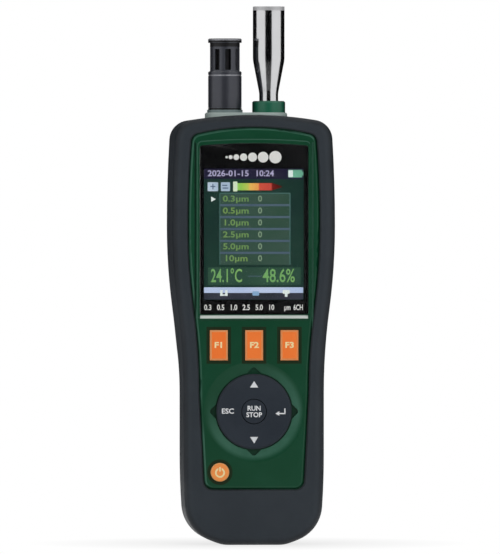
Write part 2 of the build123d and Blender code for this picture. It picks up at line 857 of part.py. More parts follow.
with BuildPart() as keypad_mat:
    with BuildSketch(front_plane(board_y)):
        mat_top = lcd_view_z - lcd_tray_height / 2 - mat_gap
        with Locations((0, (mat_top + mat_foot) / 2)):
            RectangleRounded(2 * mat_half, mat_top - mat_foot, panel_corner)
        with Locations(*board_screw_spots[:2]):
            Circle(board_boss_radius + mat_gap, mode=Mode.SUBTRACT)
        with Locations((power_key_x, power_key_z), *function_key_spots):
            Circle(key_stem_radius + mat_gap, mode=Mode.SUBTRACT)
        with Locations((0, nav_z)):
            Circle(nav_flange_radius + mat_gap, mode=Mode.SUBTRACT)
    extrude(amount=mat_thick)
keypad_mat.part.label = "keypad_mat"
export_step(keypad_mat.part, "parts/keypad_mat.step")

with BuildPart() as processor_shield:
    with BuildSketch(front_plane(board_back_y + shield_thick)):
        with Locations((-shield_x, shield_z)):
            RectangleRounded(shield_size, shield_size, window_corner)
    extrude(amount=shield_thick)
    chamfer(processor_shield.faces().sort_by(Axis.Y)[-1].edges(), board_screw_radius / 2)
processor_shield.part.label = "processor_shield"
export_step(processor_shield.part, "parts/processor_shield.step")

with BuildPart() as buzzer:
    with BuildSketch(front_plane(board_back_y + buzzer_height)):
        with Locations((shield_x, buzzer_z)):
            Circle(buzzer_radius)
    extrude(amount=buzzer_height)
    with BuildSketch(front_plane(board_back_y + buzzer_height)):
        with Locations((shield_x, buzzer_z)):
            Circle(buzzer_radius / 4)
    extrude(amount=buzzer_height / 2, mode=Mode.SUBTRACT)
buzzer.part.label = "buzzer"
export_step(buzzer.part, "parts/buzzer.step")

with BuildPart() as board_screws:
    with BuildSketch(front_plane(board_back_y + board_screw_head_thick)):
        with Locations(*board_screw_spots):
            Circle(board_screw_head)
    extrude(amount=board_screw_head_thick)
    with BuildSketch(front_plane(board_back_y)):
        with Locations(*board_screw_spots):
            Circle(board_screw_radius)
    extrude(amount=board_thick + board_screw_bite)
board_screws.part.label = "board_screws"
export_step(board_screws.part, "parts/board_screws.step")

# ---------------------------------------------------------------------------
# Ports on the edge of the main board
# ---------------------------------------------------------------------------
with BuildPart() as usb_port:
    with BuildSketch(Plane.YZ.offset(port_reach - usb_depth)):
        with Locations((board_back_y + usb_height / 2, usb_z)):
            RectangleRounded(usb_height, usb_width, usb_wall)
    extrude(amount=usb_depth)
    with BuildSketch(Plane.YZ.offset(port_reach - usb_depth + usb_wall)):
        with Locations((board_back_y + usb_height / 2, usb_z)):
            Rectangle(usb_height - 2 * usb_wall, usb_width - 2 * usb_wall)
    extrude(amount=usb_depth - usb_wall, mode=Mode.SUBTRACT)
    with BuildSketch(Plane.YZ.offset(port_reach - usb_depth)):
        with Locations((board_back_y + usb_height / 2, usb_z)):
            Rectangle(usb_wall, usb_width / 2)
    extrude(amount=usb_depth - 2 * usb_wall)
usb_port.part.label = "usb_port"
export_step(usb_port.part, "parts/usb_port.step")

with BuildPart() as power_jack:
    with BuildSketch(Plane.YZ.offset(port_reach - jack_depth)):
        with Locations((board_back_y + jack_size / 2, jack_z)):
            Rectangle(jack_size, jack_size)
    extrude(amount=jack_depth)
    with BuildSketch(Plane.YZ.offset(port_reach)):
        with Locations((board_back_y + jack_size / 2, jack_z)):
            Circle(jack_bore)
            Circle(jack_pin, mode=Mode.SUBTRACT)
    extrude(amount=-jack_depth * 0.8, mode=Mode.SUBTRACT)
power_jack.part.label = "power_jack"
export_step(power_jack.part, "parts/power_jack.step")

with BuildPart() as card_socket:
    with BuildSketch(Plane.YZ.offset(port_reach - card_socket_depth)):
        with Locations((board_back_y + slot_width / 2, slot_z)):
            Rectangle(slot_width, card_socket_height)
    extrude(amount=card_socket_depth)
    with BuildSketch(Plane.YZ.offset(port_reach)):
        with Locations((board_back_y + slot_width / 2, slot_z)):
            Rectangle(slot_width - 2 * usb_wall, card_socket_height - 4 * usb_wall)
    extrude(amount=usb_wall - card_socket_depth, mode=Mode.SUBTRACT)
card_socket.part.label = "card_socket"
export_step(card_socket.part, "parts/card_socket.step")

with BuildPart() as port_flap:
    with BuildSketch(Plane.YZ.offset(handle_half - flap_thick)):
        with Locations(((flap_front + flap_axis_y) / 2, (flap_low + flap_high) / 2)):
            Rectangle(flap_axis_y - flap_front, flap_high - flap_low)
    extrude(amount=flap_thick)
    outer_rim = port_flap.faces().sort_by(Axis.X)[-1].edges()
    chamfer(outer_rim.sort_by(Axis.Y)[:-1], flap_bevel)
    with BuildSketch(Plane.XY.offset(flap_low)):
        with Locations((flap_axis_x, flap_axis_y)):
            Circle(flap_bead_radius)
    extrude(amount=flap_high - flap_low)
    with BuildSketch(Plane.XY.offset(flap_low)):
        with Locations((flap_axis_x, flap_axis_y)):
            Circle(flap_pin_radius + shaft_fit)
    extrude(amount=flap_high - flap_low, mode=Mode.SUBTRACT)
port_flap.part.label = "port_flap"
export_step(port_flap.part, "parts/port_flap.step")

with BuildPart() as flap_pin:
    with BuildSketch(Plane.XY.offset(flap_low - flap_pin_reach)):
        with Locations((flap_axis_x, flap_axis_y)):
            Circle(flap_pin_radius)
    extrude(amount=flap_high - flap_low + 2 * flap_pin_reach)
flap_pin.part.label = "flap_pin"
export_step(flap_pin.part, "parts/flap_pin.step")

# ---------------------------------------------------------------------------
# Keys
# ---------------------------------------------------------------------------
for number, (key_x, key_z) in enumerate(function_key_spots, start=1):
    with BuildPart() as function_key:
        with BuildSketch(front_plane(inner_y)):
            with Locations((key_x, key_z)):
                Rectangle(function_key_width, function_key_height)
        extrude(amount=inner_y - panel_y + function_key_rise)
        chamfer(function_key.faces().sort_by(Axis.Y)[0].edges(), function_key_bevel)
        with BuildSketch(front_plane(inner_y + key_flange_thick)):
            with Locations((key_x, key_z)):
                Rectangle(function_key_width + 2 * key_flange, function_key_height + 2 * key_flange)
        extrude(amount=key_flange_thick)
        with BuildSketch(front_plane(stem_y)):
            with Locations((key_x, key_z)):
                Circle(key_stem_radius)
        extrude(amount=stem_y - inner_y)
    function_key.part.label = f"function_key_{number}"
    export_step(function_key.part, f"parts/function_key_{number}.step")

with BuildPart() as power_key:
    with BuildSketch(front_plane(inner_y)):
        with Locations((power_key_x, power_key_z)):
            Circle(power_key_radius)
    extrude(amount=inner_y - panel_y + power_key_rise)
    fillet(power_key.faces().sort_by(Axis.Y)[0].edges(), function_key_bevel)
    with BuildSketch(front_plane(inner_y + key_flange_thick)):
        with Locations((power_key_x, power_key_z)):
            Circle(power_key_radius + key_flange)
    extrude(amount=key_flange_thick)
    with BuildSketch(front_plane(stem_y)):
        with Locations((power_key_x, power_key_z)):
            Circle(key_stem_radius)
    extrude(amount=stem_y - inner_y)
power_key.part.label = "power_key"
export_step(power_key.part, "parts/power_key.step")

nav_back_y = recess_y - nav_plate_gap
nav_rim_y = panel_y - nav_rise
nav_flange_y = inner_y + nav_flange_gap
run_hole_radius = run_key_radius + run_key_gap
with BuildPart() as navigation_pad:
    with BuildSketch(Plane.XY.offset(nav_z)):
        with BuildLine():
            Polyline(
                (run_hole_radius, nav_rim_y + nav_hollow),
                (run_hole_radius, nav_flange_y + nav_flange_thick),
                (nav_flange_radius, nav_flange_y + nav_flange_thick),
                (nav_flange_radius, nav_flange_y),
                (nav_sleeve_radius, nav_flange_y),
                (nav_sleeve_radius, nav_back_y),
                (nav_radius, nav_back_y),
                (nav_radius, nav_rim_y + nav_edge),
                (nav_radius - nav_edge, nav_rim_y),
            )
            ThreePointArc(
                (nav_radius - nav_edge, nav_rim_y),
                ((nav_radius + run_hole_radius) / 2, nav_rim_y + nav_hollow * nav_hollow_share),
                (run_hole_radius, nav_rim_y + nav_hollow),
            )
        make_face()
    revolve(axis=nav_axis)
    with BuildSketch(front_plane(dome_y - nav_nub_gap)):
        with Locations(*[(x, nav_z + z) for x, z in nav_nub_spots]):
            Circle(nav_nub_radius)
    extrude(amount=dome_y - nav_nub_gap - nav_flange_y - nav_flange_thick / 2)
navigation_pad.part.label = "navigation_pad"
export_step(navigation_pad.part, "parts/navigation_pad.step")

with BuildPart() as navigation_web:
    with BuildSketch(front_plane(nav_flange_y + web_thick)):
        with Locations((0, nav_z)):
            Circle(nav_flange_radius + web_gap + web_width)
            Circle(nav_flange_radius + web_gap, mode=Mode.SUBTRACT)
    extrude(amount=web_thick)
navigation_web.part.label = "navigation_web"
export_step(navigation_web.part, "parts/navigation_web.step")

with BuildPart() as run_stop_key:
    with BuildSketch(front_plane(dome_y - key_travel)):
        with Locations((0, nav_z)):
            Circle(run_key_radius)
    extrude(amount=dome_y - key_travel - nav_rim_y - nav_hollow)
    fillet(run_stop_key.faces().sort_by(Axis.Y)[0].edges(), run_key_round)
    with BuildSketch(front_plane(dome_y - key_travel)):
        with Locations((0, nav_z)):
            Circle(run_key_radius + run_flange)
    extrude(amount=run_flange_thick)
run_stop_key.part.label = "run_stop_key"
export_step(run_stop_key.part, "parts/run_stop_key.step")

# ---------------------------------------------------------------------------
# Housing screws, battery and door
# ---------------------------------------------------------------------------
with BuildPart() as housing_screws:
    with BuildSketch(front_plane(screw_seat_y + housing_screw_head_thick)):
        with Locations(*housing_screw_spots):
            Circle(housing_screw_head)
            RegularPolygon(housing_screw_radius, 6, mode=Mode.SUBTRACT)
    extrude(amount=housing_screw_head_thick)
    with BuildSketch(front_plane(screw_seat_y + housing_screw_head_thick / 2)):
        with Locations(*housing_screw_spots):
            Circle(housing_screw_radius)
    extrude(amount=housing_screw_head_thick / 2 + housing_screw_web + housing_screw_bite)
housing_screws.part.label = "housing_screws"
export_step(housing_screws.part, "parts/housing_screws.step")

with BuildPart() as battery_pack:
    with BuildSketch(front_plane(door_inner_y - pack_gap)):
        with Locations((0, bay_z)):
            Rectangle(2 * (bay_half - pack_gap), bay_height - 2 * pack_gap)
    extrude(amount=door_inner_y - 2 * pack_gap - bay_floor)
    fillet(battery_pack.edges().filter_by(Axis.Z), pack_round)
battery_pack.part.label = "battery_pack"
export_step(battery_pack.part, "parts/battery_pack.step")

with BuildPart() as battery_contacts:
    with BuildSketch(front_plane(bay_floor + 2 * contact_width)):
        with Locations((-contact_x, bay_top - contact_thick / 2), (contact_x, bay_top - contact_thick / 2)):
            Rectangle(contact_width, contact_thick)
    extrude(amount=2 * contact_width)
battery_contacts.part.label = "battery_contacts"
export_step(battery_contacts.part, "parts/battery_contacts.step")

with BuildPart() as battery_door:
    with BuildSketch(front_plane(handle_panel_y)):
        with Locations((0, door_z)):
            RectangleRounded(2 * door_half, door_height, door_corner)
    extrude(amount=door_thick)
    chamfer(battery_door.faces().sort_by(Axis.Y)[-1].edges(), flap_bevel)
    with BuildSketch(front_plane(handle_panel_y)):
        with Locations((0, door_grip_z)):
            with GridLocations(0, door_grip_pitch, 1, door_grip_count):
                SlotOverall(door_grip_width, door_grip_pitch / 2)
    extrude(amount=door_thick / 4, mode=Mode.SUBTRACT)
    with BuildSketch(front_plane(handle_panel_y)):
        with Locations((0, door_screw_z)):
            Circle(door_screw_bore)
    extrude(amount=door_thick, mode=Mode.SUBTRACT)
    with BuildSketch(front_plane(handle_panel_y)):
        with Locations((0, door_screw_z)):
            Circle(housing_screw_head + door_gap)
    extrude(amount=door_screw_head_thick, mode=Mode.SUBTRACT)
battery_door.part.label = "battery_door"
export_step(battery_door.part, "parts/battery_door.step")

door_screw_shank_y = handle_panel_y - door_screw_head_thick / 2
door_screw_tip_y = handle_inner_y - door_screw_depth + 2 * bay_wall
with BuildPart() as battery_door_screw:
    with BuildSketch(front_plane(handle_panel_y)):
        with Locations((0, door_screw_z)):
            Circle(housing_screw_head)
            Rectangle(housing_screw_head * 1.2, door_slot_width, mode=Mode.SUBTRACT)
    extrude(amount=door_screw_head_thick)
    with BuildSketch(front_plane(door_screw_shank_y)):
        with Locations((0, door_screw_z)):
            Circle(housing_screw_radius)
    extrude(amount=door_screw_shank_y - door_screw_tip_y)
battery_door_screw.part.label = "battery_door_screw"
export_step(battery_door_screw.part, "parts/battery_door_screw.step")

# ---------------------------------------------------------------------------
# Top plinth, sampling probe and climate sensor
# ---------------------------------------------------------------------------
with BuildPart() as top_plinth:
    with BuildSketch(Plane.XY.offset(plinth_seat)):
        add(plinth_outline(0))
    extrude(amount=plinth_thick)
    chamfer(top_plinth.faces().sort_by(Axis.Z)[-1].edges(), plinth_bevel)
    with BuildSketch(Plane.XY.offset(plinth_seat)):
        with Locations((probe_x, 0)):
            Circle(probe_spigot_radius + screw_fit)
        with Locations((climate_x, 0)):
            Circle(climate_spigot_radius + screw_fit)
    extrude(amount=plinth_thick, mode=Mode.SUBTRACT)
top_plinth.part.label = "top_plinth"
export_step(top_plinth.part, "parts/top_plinth.step")

probe_axis = Axis((probe_x, 0, 0), (0, 0, 1))
climate_axis = Axis((climate_x, 0, 0), (0, 0, 1))
cone_top = probe_top - probe_straight
cone_foot = cone_top - probe_cone
mouth_bore = probe_mouth_radius - probe_wall
neck_bore = probe_neck_radius - probe_wall
with BuildPart() as sampling_probe:
    with BuildSketch(Plane.XZ):
        with Locations((probe_x, 0)):
            Polygon(
                (probe_bore_radius, probe_spigot_foot),
                (probe_spigot_radius, probe_spigot_foot),
                (probe_spigot_radius, plinth_top),
                (probe_neck_radius, plinth_top),
                (probe_neck_radius, cone_foot),
                (probe_mouth_radius, cone_top),
                (probe_mouth_radius, probe_top),
                (mouth_bore, probe_top),
                (mouth_bore, cone_top),
                (neck_bore, cone_foot),
                (probe_bore_radius, cone_foot - 2 * neck_bore),
                align=None,
            )
    revolve(axis=probe_axis)
    rim_edges = sampling_probe.edges().group_by(Axis.Z)[-1]
    fillet(rim_edges, probe_wall / 3)
    for corner_z in (cone_top, cone_foot):
        bends = sampling_probe.edges().filter_by_position(Axis.Z, corner_z - 0.01, corner_z + 0.01)
        fillet(bends.sort_by(SortBy.RADIUS)[-1], probe_bend)
sampling_probe.part.label = "sampling_probe"
export_step(sampling_probe.part, "parts/sampling_probe.step")

with BuildPart() as probe_collar:
    with BuildSketch(Plane.XY.offset(plinth_top)):
        with Locations((probe_x, 0)):
            Circle(collar_radius)
            Circle(probe_neck_radius + screw_fit, mode=Mode.SUBTRACT)
    extrude(amount=collar_height)
    chamfer(probe_collar.faces().sort_by(Axis.Z)[-1].outer_wire().edges(), collar_bevel)
probe_collar.part.label = "probe_collar"
export_step(probe_collar.part, "parts/probe_collar.step")

seal_z = plinth_seat - seal_radius - seal_fit / 2
with BuildPart() as sensor_seals:
    with BuildSketch(Plane.XZ):
        with Locations((probe_x + probe_spigot_radius + seal_radius + seal_fit, seal_z)):
            Circle(seal_radius)
    revolve(axis=probe_axis)
    with BuildSketch(Plane.XZ):
        with Locations((climate_x + climate_spigot_radius + seal_radius + seal_fit, seal_z)):
            Circle(seal_radius)
    revolve(axis=climate_axis)
sensor_seals.part.label = "sensor_seals"
export_step(sensor_seals.part, "parts/sensor_seals.step")

climate_base_top = plinth_top + climate_base_height
with BuildPart() as climate_sensor_base:
    with BuildSketch(Plane.XY.offset(plinth_top)):
        with Locations((climate_x, 0)):
            Circle(climate_base_radius)
    extrude(amount=climate_base_height)
    chamfer(climate_sensor_base.faces().sort_by(Axis.Z)[-1].edges(), cage_cap_bevel)
    with BuildSketch(Plane.XY.offset(climate_spigot_foot)):
        with Locations((climate_x, 0)):
            Circle(climate_spigot_radius)
    extrude(amount=plinth_top - climate_spigot_foot)
    with BuildSketch(Plane.XZ):
        for ring_z in (plinth_top + climate_groove_inset, climate_base_top - climate_groove_inset):
            with Locations((climate_x + climate_base_radius, ring_z)):
                Rectangle(2 * climate_groove_depth, climate_groove_width)
    revolve(axis=climate_axis, mode=Mode.SUBTRACT)
    with BuildSketch(Plane.XY.offset(climate_spigot_foot)):
        with Locations((climate_x, 0)):
            Circle(climate_bore_radius)
    extrude(amount=climate_base_top - 2 * climate_groove_inset - climate_spigot_foot, mode=Mode.SUBTRACT)
climate_sensor_base.part.label = "climate_sensor_base"
export_step(climate_sensor_base.part, "parts/climate_sensor_base.step")

cage_slot_foot = climate_base_top + cage_foot
cage_slot_top = cage_slot_foot + cage_slot_height
cage_band_top = cage_slot_top + cage_band
with BuildPart() as climate_sensor_cage:
    with BuildSketch(Plane.XY.offset(climate_base_top)):
        with Locations((climate_x, 0)):
            Circle(cage_radius)
            Circle(cage_radius - cage_wall, mode=Mode.SUBTRACT)
    extrude(amount=cage_band_top - climate_base_top)
    with BuildSketch(Plane.XY.offset(cage_slot_foot)):
        with Locations((climate_x, 0)):
            with PolarLocations(cage_radius, cage_slots, start_angle=cage_phase):
                Rectangle(3 * cage_wall, cage_slot_width)
    extrude(amount=cage_slot_height, mode=Mode.SUBTRACT)
    with BuildSketch(Plane.XY.offset(cage_band_top)):
        with Locations((climate_x, 0)):
            Circle(cage_cap_radius)
    extrude(amount=cage_cap_thick)
    chamfer(climate_sensor_cage.faces().sort_by(Axis.Z)[-1].edges(), cage_cap_bevel)
climate_sensor_cage.part.label = "climate_sensor_cage"
export_step(climate_sensor_cage.part, "parts/climate_sensor_cage.step")

with BuildPart() as climate_sensor_element:
    with BuildSketch(Plane.XY.offset(climate_base_top)):
        with Locations((climate_x, 0)):
            Rectangle(element_width, element_thick)
    extrude(amount=element_height)
    with BuildSketch(front_plane(-element_thick / 2)):
        with Locations((climate_x, climate_base_top + element_height * 0.6)):
            Rectangle(chip_size, chip_size)
    extrude(amount=chip_thick)
climate_sensor_element.part.label = "climate_sensor_element"
export_step(climate_sensor_element.part, "parts/climate_sensor_element.step")

with BuildPart() as climate_sensor_nut:
    with BuildSketch(Plane.XY.offset(plinth_pad_foot - nut_thick)):
        with Locations((climate_x, 0)):
            RegularPolygon(nut_across / 2, 6, major_radius=False)
            Circle(climate_spigot_radius + screw_fit, mode=Mode.SUBTRACT)
    extrude(amount=nut_thick)
climate_sensor_nut.part.label = "climate_sensor_nut"
export_step(climate_sensor_nut.part, "parts/climate_sensor_nut.step")

# ---------------------------------------------------------------------------
# Rear fittings: tripod bush, camera and lamps
# ---------------------------------------------------------------------------
bush_face_y = head_panel_y - bush_sunk
with BuildPart() as tripod_bush:
    with BuildSketch(front_plane(bush_face_y)):
        with Locations((0, bush_z)):
            Circle(bush_radius)
    extrude(amount=bush_length)
    with BuildSketch(front_plane(bush_face_y)):
        with Locations((0, bush_z)):
            Circle(bush_bore_radius)
    extrude(amount=bush_bore_length, mode=Mode.SUBTRACT)
tripod_bush.part.label = "tripod_bush"
export_step(tripod_bush.part, "parts/tripod_bush.step")

camera_window_y = head_inner_y + 2 * camera_window_thick
with BuildPart() as camera_bezel:
    with BuildSketch(front_plane(head_panel_y + camera_ring_rise)):
        with Locations((0, camera_z)):
            Circle(camera_ring_radius)
    extrude(amount=camera_ring_rise)
    chamfer(camera_bezel.faces().sort_by(Axis.Y)[-1].edges(), camera_ring_bevel / 2)
    with BuildSketch(front_plane(head_panel_y)):
        with Locations((0, camera_z)):
            Circle(camera_sleeve_radius)
    extrude(amount=head_panel_y - head_inner_y)
    with BuildSketch(front_plane(head_panel_y + camera_ring_rise)):
        with Locations((0, camera_z)):
            Circle(camera_ring_bore)
    extrude(amount=head_panel_y + camera_ring_rise - head_inner_y, mode=Mode.SUBTRACT)
    with BuildSketch(front_plane(camera_window_y)):
        with Locations((0, camera_z)):
            Circle(camera_window_radius + screw_fit)
    extrude(amount=camera_window_y - head_inner_y, mode=Mode.SUBTRACT)
camera_bezel.part.label = "camera_bezel"
export_step(camera_bezel.part, "parts/camera_bezel.step")

with BuildPart() as camera_window:
    with BuildSketch(front_plane(camera_window_y)):
        with Locations((0, camera_z)):
            Circle(camera_window_radius)
    extrude(amount=camera_window_thick)
camera_window.part.label = "camera_window"
export_step(camera_window.part, "parts/camera_window.step")

with BuildPart() as camera_module:
    with BuildSketch(front_plane(head_inner_y)):
        with Locations((0, camera_z)):
            Circle(camera_barrel_radius)
    extrude(amount=camera_barrel_length)
    with BuildSketch(Plane.XY.offset(camera_z)):
        with Locations((0, head_inner_y + camera_lens_sphere - camera_lens_depth)):
            Circle(camera_lens_sphere)
            left_half = (Align.MAX, Align.CENTER)
            Rectangle(camera_lens_sphere, 4 * camera_lens_sphere, align=left_half, mode=Mode.SUBTRACT)
    revolve(axis=Axis((0, 0, camera_z), (0, 1, 0)), mode=Mode.SUBTRACT)
    with BuildSketch(front_plane(camera_base_y + camera_base_thick)):
        with Locations((0, camera_z)):
            Rectangle(camera_base_size, camera_base_size)
    extrude(amount=camera_base_thick)
camera_module.part.label = "camera_module"
export_step(camera_module.part, "parts/camera_module.step")

with BuildPart() as camera_board:
    with BuildSketch(front_plane(camera_base_y)):
        with Locations((0, camera_z)):
            Rectangle(camera_board_width, camera_board_height)
    extrude(amount=camera_board_thick)
    with BuildSketch(front_plane(camera_base_y + led_thick)):
        with Locations(*lamp_spots):
            Rectangle(led_size, led_size)
    extrude(amount=led_thick)
camera_board.part.label = "camera_board"
export_step(camera_board.part, "parts/camera_board.step")

with BuildPart() as lamp_lenses:
    with BuildSketch(front_plane(head_panel_y + lamp_rise)):
        with Locations(*lamp_spots):
            Circle(lamp_radius)
    extrude(amount=head_panel_y + lamp_rise - camera_base_y - led_thick - led_gap)
    fillet(lamp_lenses.faces().filter_by(Axis.Y).group_by(Axis.Y)[-1].edges(), lamp_rise)
lamp_lenses.part.label = "lamp_lenses"
export_step(lamp_lenses.part, "parts/lamp_lenses.step")

# ---------------------------------------------------------------------------
# Optical chamber
# ---------------------------------------------------------------------------
laser_foot_x = chamber_left + laser_seat - laser_length
with BuildPart() as optical_chamber:
    with BuildSketch(Plane.XY.offset(chamber_foot)):
        with Locations(((chamber_left + chamber_right) / 2, (chamber_front + chamber_back) / 2)):
            Rectangle(chamber_right - chamber_left, chamber_back - chamber_front)
        with Locations(((chamber_left + chamber_right) / 2, chamber_back + chamber_plate_thick / 2)):
            Rectangle(chamber_right - chamber_left + 2 * chamber_plate_reach, chamber_plate_thick)
    extrude(amount=chamber_top - chamber_foot)
    with BuildSketch(Plane.XY.offset(chamber_foot - nipple_length)):
        with Locations((probe_x, 0)):
            Circle(nipple_radius)
    extrude(amount=chamber_top - chamber_foot + 2 * nipple_length)
    with BuildSketch(Plane.XY.offset(chamber_foot - nipple_length)):
        with Locations((probe_x, 0)):
            Circle(probe_bore_radius)
    extrude(amount=chamber_top - chamber_foot + 2 * nipple_length, mode=Mode.SUBTRACT)
    with BuildSketch(Plane.YZ.offset(chamber_left)):
        with Locations((0, chamber_mid_z)):
            Circle(laser_radius + screw_fit)
    extrude(amount=laser_seat, mode=Mode.SUBTRACT)
    with BuildSketch(Plane.YZ.offset(chamber_left)):
        with Locations((0, chamber_mid_z)):
            Circle(beam_radius)
    extrude(amount=chamber_right - chamber_left, mode=Mode.SUBTRACT)
    with BuildSketch(Plane.YZ.offset(chamber_right - trap_length)):
        with Locations((0, chamber_mid_z)):
            Circle(laser_radius + screw_fit)
    extrude(amount=trap_length, mode=Mode.SUBTRACT)
    with BuildSketch(front_plane(mirror_y)):
        with Locations((probe_x, chamber_mid_z)):
            Circle(mirror_radius + screw_fit)
    extrude(amount=mirror_y - chamber_front, mode=Mode.SUBTRACT)
    with BuildSketch(front_plane(chamber_plate_y)):
        with Locations(*plate_spots):
            Circle(board_screw_radius + 2 * screw_fit)
    extrude(amount=chamber_plate_thick, mode=Mode.SUBTRACT)
    with BuildSketch(front_plane(chamber_front + cover_screw_bite)):
        with Locations(*cover_spots):
            Circle(board_screw_radius + screw_fit)
    extrude(amount=cover_screw_bite, mode=Mode.SUBTRACT)
optical_chamber.part.label = "optical_chamber"
export_step(optical_chamber.part, "parts/optical_chamber.step")

with BuildPart() as chamber_cover:
    with BuildSketch(front_plane(chamber_front)):
        with Locations(((chamber_left + chamber_right) / 2, chamber_mid_z)):
            Rectangle(chamber_right - chamber_left, chamber_top - chamber_foot)
        with Locations(*cover_spots):
            Circle(board_screw_radius + 2 * screw_fit, mode=Mode.SUBTRACT)
        with Locations((probe_x, chamber_mid_z)):
            Circle(detector_radius + screw_fit, mode=Mode.SUBTRACT)
    extrude(amount=cover_thick)
chamber_cover.part.label = "chamber_cover"
export_step(chamber_cover.part, "parts/chamber_cover.step")

with BuildPart() as chamber_screws:
    with BuildSketch(front_plane(chamber_back)):
        with Locations(*plate_spots):
            Circle(board_screw_head)
    extrude(amount=board_screw_head_thick)
    with BuildSketch(front_plane(chamber_plate_y + board_screw_bite)):
        with Locations(*plate_spots):
            Circle(board_screw_radius)
    extrude(amount=chamber_plate_thick + board_screw_bite)
    with BuildSketch(front_plane(chamber_front - cover_thick)):
        with Locations(*cover_spots):
            Circle(board_screw_head)
    extrude(amount=cover_screw_head)
    with BuildSketch(front_plane(chamber_front + cover_screw_bite)):
        with Locations(*cover_spots):
            Circle(board_screw_radius)
    extrude(amount=cover_screw_bite + cover_thick)
chamber_screws.part.label = "chamber_screws"
export_step(chamber_screws.part, "parts/chamber_screws.step")

with BuildPart() as laser_module:
    with BuildSketch(Plane.YZ.offset(laser_foot_x)):
        with Locations((0, chamber_mid_z)):
            Circle(laser_radius)
    extrude(amount=laser_length)
    with BuildSketch(Plane.YZ.offset(laser_foot_x + laser_length)):
        with Locations((0, chamber_mid_z)):
            Circle(lens_radius + screw_fit)
    extrude(amount=-lens_thick, mode=Mode.SUBTRACT)
laser_module.part.label = "laser_module"
export_step(laser_module.part, "parts/laser_module.step")

with BuildPart() as collimating_lens:
    with BuildSketch(Plane.YZ.offset(laser_foot_x + laser_length)):
        with Locations((0, chamber_mid_z)):
            Circle(lens_radius)
    extrude(amount=-lens_thick)
    fillet(collimating_lens.faces().sort_by(Axis.X)[-1].edges(), lens_thick / 2)
collimating_lens.part.label = "collimating_lens"
export_step(collimating_lens.part, "parts/collimating_lens.step")

with BuildPart() as light_trap:
    with BuildSketch(Plane.XZ):
        with Locations((0, chamber_mid_z)):
            Polygon(
                (chamber_right - trap_length, laser_radius),
                (chamber_right - trap_length, laser_radius - trap_rim),
                (chamber_right - trap_rim, 0),
                (chamber_right, 0),
                (chamber_right, laser_radius),
                align=None,
            )
    revolve(axis=Axis((0, 0, chamber_mid_z), (1, 0, 0)))
light_trap.part.label = "light_trap"
export_step(light_trap.part, "parts/light_trap.step")

with BuildPart() as collecting_mirror:
    with BuildSketch(front_plane(mirror_y)):
        with Locations((probe_x, chamber_mid_z)):
            Circle(mirror_radius)
    extrude(amount=mirror_thick)
    hollow_y = mirror_y - mirror_thick - mirror_hollow + mirror_dip
    with Locations((probe_x, hollow_y, chamber_mid_z)):
        Sphere(mirror_hollow, mode=Mode.SUBTRACT)
collecting_mirror.part.label = "collecting_mirror"
export_step(collecting_mirror.part, "parts/collecting_mirror.step")

sensor_board_y = chamber_front - cover_thick - sensor_board_standoff
with BuildPart() as photodetector:
    with BuildSketch(front_plane(sensor_board_y + detector_length)):
        with Locations((probe_x, chamber_mid_z)):
            Circle(detector_radius)
    extrude(amount=detector_length)
photodetector.part.label = "photodetector"
export_step(photodetector.part, "parts/photodetector.step")

with BuildPart() as sensor_board:
    with BuildSketch(front_plane(sensor_board_y)):
        with Locations((probe_x, chamber_mid_z)):
            Rectangle(sensor_board_size, sensor_board_size)
    extrude(amount=sensor_board_thick)
sensor_board.part.label = "sensor_board"
export_step(sensor_board.part, "parts/sensor_board.step")

# ---------------------------------------------------------------------------
# Pump and filter
# ---------------------------------------------------------------------------
pump_top = motor_z + motor_radius
pump_foot = motor_z - motor_radius
shaft_tip_x = motor_face_x + pump_wall + eccentric_thick
with BuildPart() as pump_motor:
    with BuildSketch(Plane.YZ.offset(motor_face_x - motor_length)):
        with Locations((motor_y, motor_z)):
            Circle(motor_radius)
            Circle(shaft_radius + shaft_fit, mode=Mode.SUBTRACT)
    extrude(amount=motor_length)
    chamfer(pump_motor.faces().sort_by(Axis.X)[0].outer_wire().edges(), saddle_thick / 2)
pump_motor.part.label = "pump_motor"
export_step(pump_motor.part, "parts/pump_motor.step")

with BuildPart() as pump_body:
    with BuildSketch(Plane.YZ.offset(motor_face_x)):
        with Locations((motor_y, motor_z)):
            Rectangle(2 * motor_radius, 2 * motor_radius)
    extrude(amount=pump_length)
    with BuildSketch(Plane.XY.offset(pump_foot - nipple_length)):
        with Locations((probe_x, 0)):
            Circle(nipple_radius)
    extrude(amount=pump_top - pump_foot + 2 * nipple_length)
    with BuildSketch(Plane.XY.offset(pump_foot - nipple_length)):
        with Locations((probe_x, 0)):
            Circle(probe_bore_radius)
    extrude(amount=pump_top - pump_foot + 2 * nipple_length, mode=Mode.SUBTRACT)
    with BuildSketch(Plane.YZ.offset(motor_face_x)):
        with Locations((motor_y, motor_z)):
            Circle(eccentric_radius + eccentric_offset + motor_bore)
    extrude(amount=pump_wall + eccentric_thick + motor_bore, mode=Mode.SUBTRACT)
pump_body.part.label = "pump_body"
export_step(pump_body.part, "parts/pump_body.step")

with BuildPart() as pump_rotor:
    with BuildSketch(Plane.YZ.offset(motor_face_x - motor_length)):
        with Locations((motor_y, motor_z)):
            Circle(shaft_radius)
    extrude(amount=shaft_tip_x - motor_face_x + motor_length)
    with BuildSketch(Plane.YZ.offset(motor_face_x + pump_wall)):
        with Locations((motor_y, motor_z + eccentric_offset)):
            Circle(eccentric_radius)
    extrude(amount=eccentric_thick)
pump_rotor.part.label = "pump_rotor"
export_step(pump_rotor.part, "parts/pump_rotor.step")

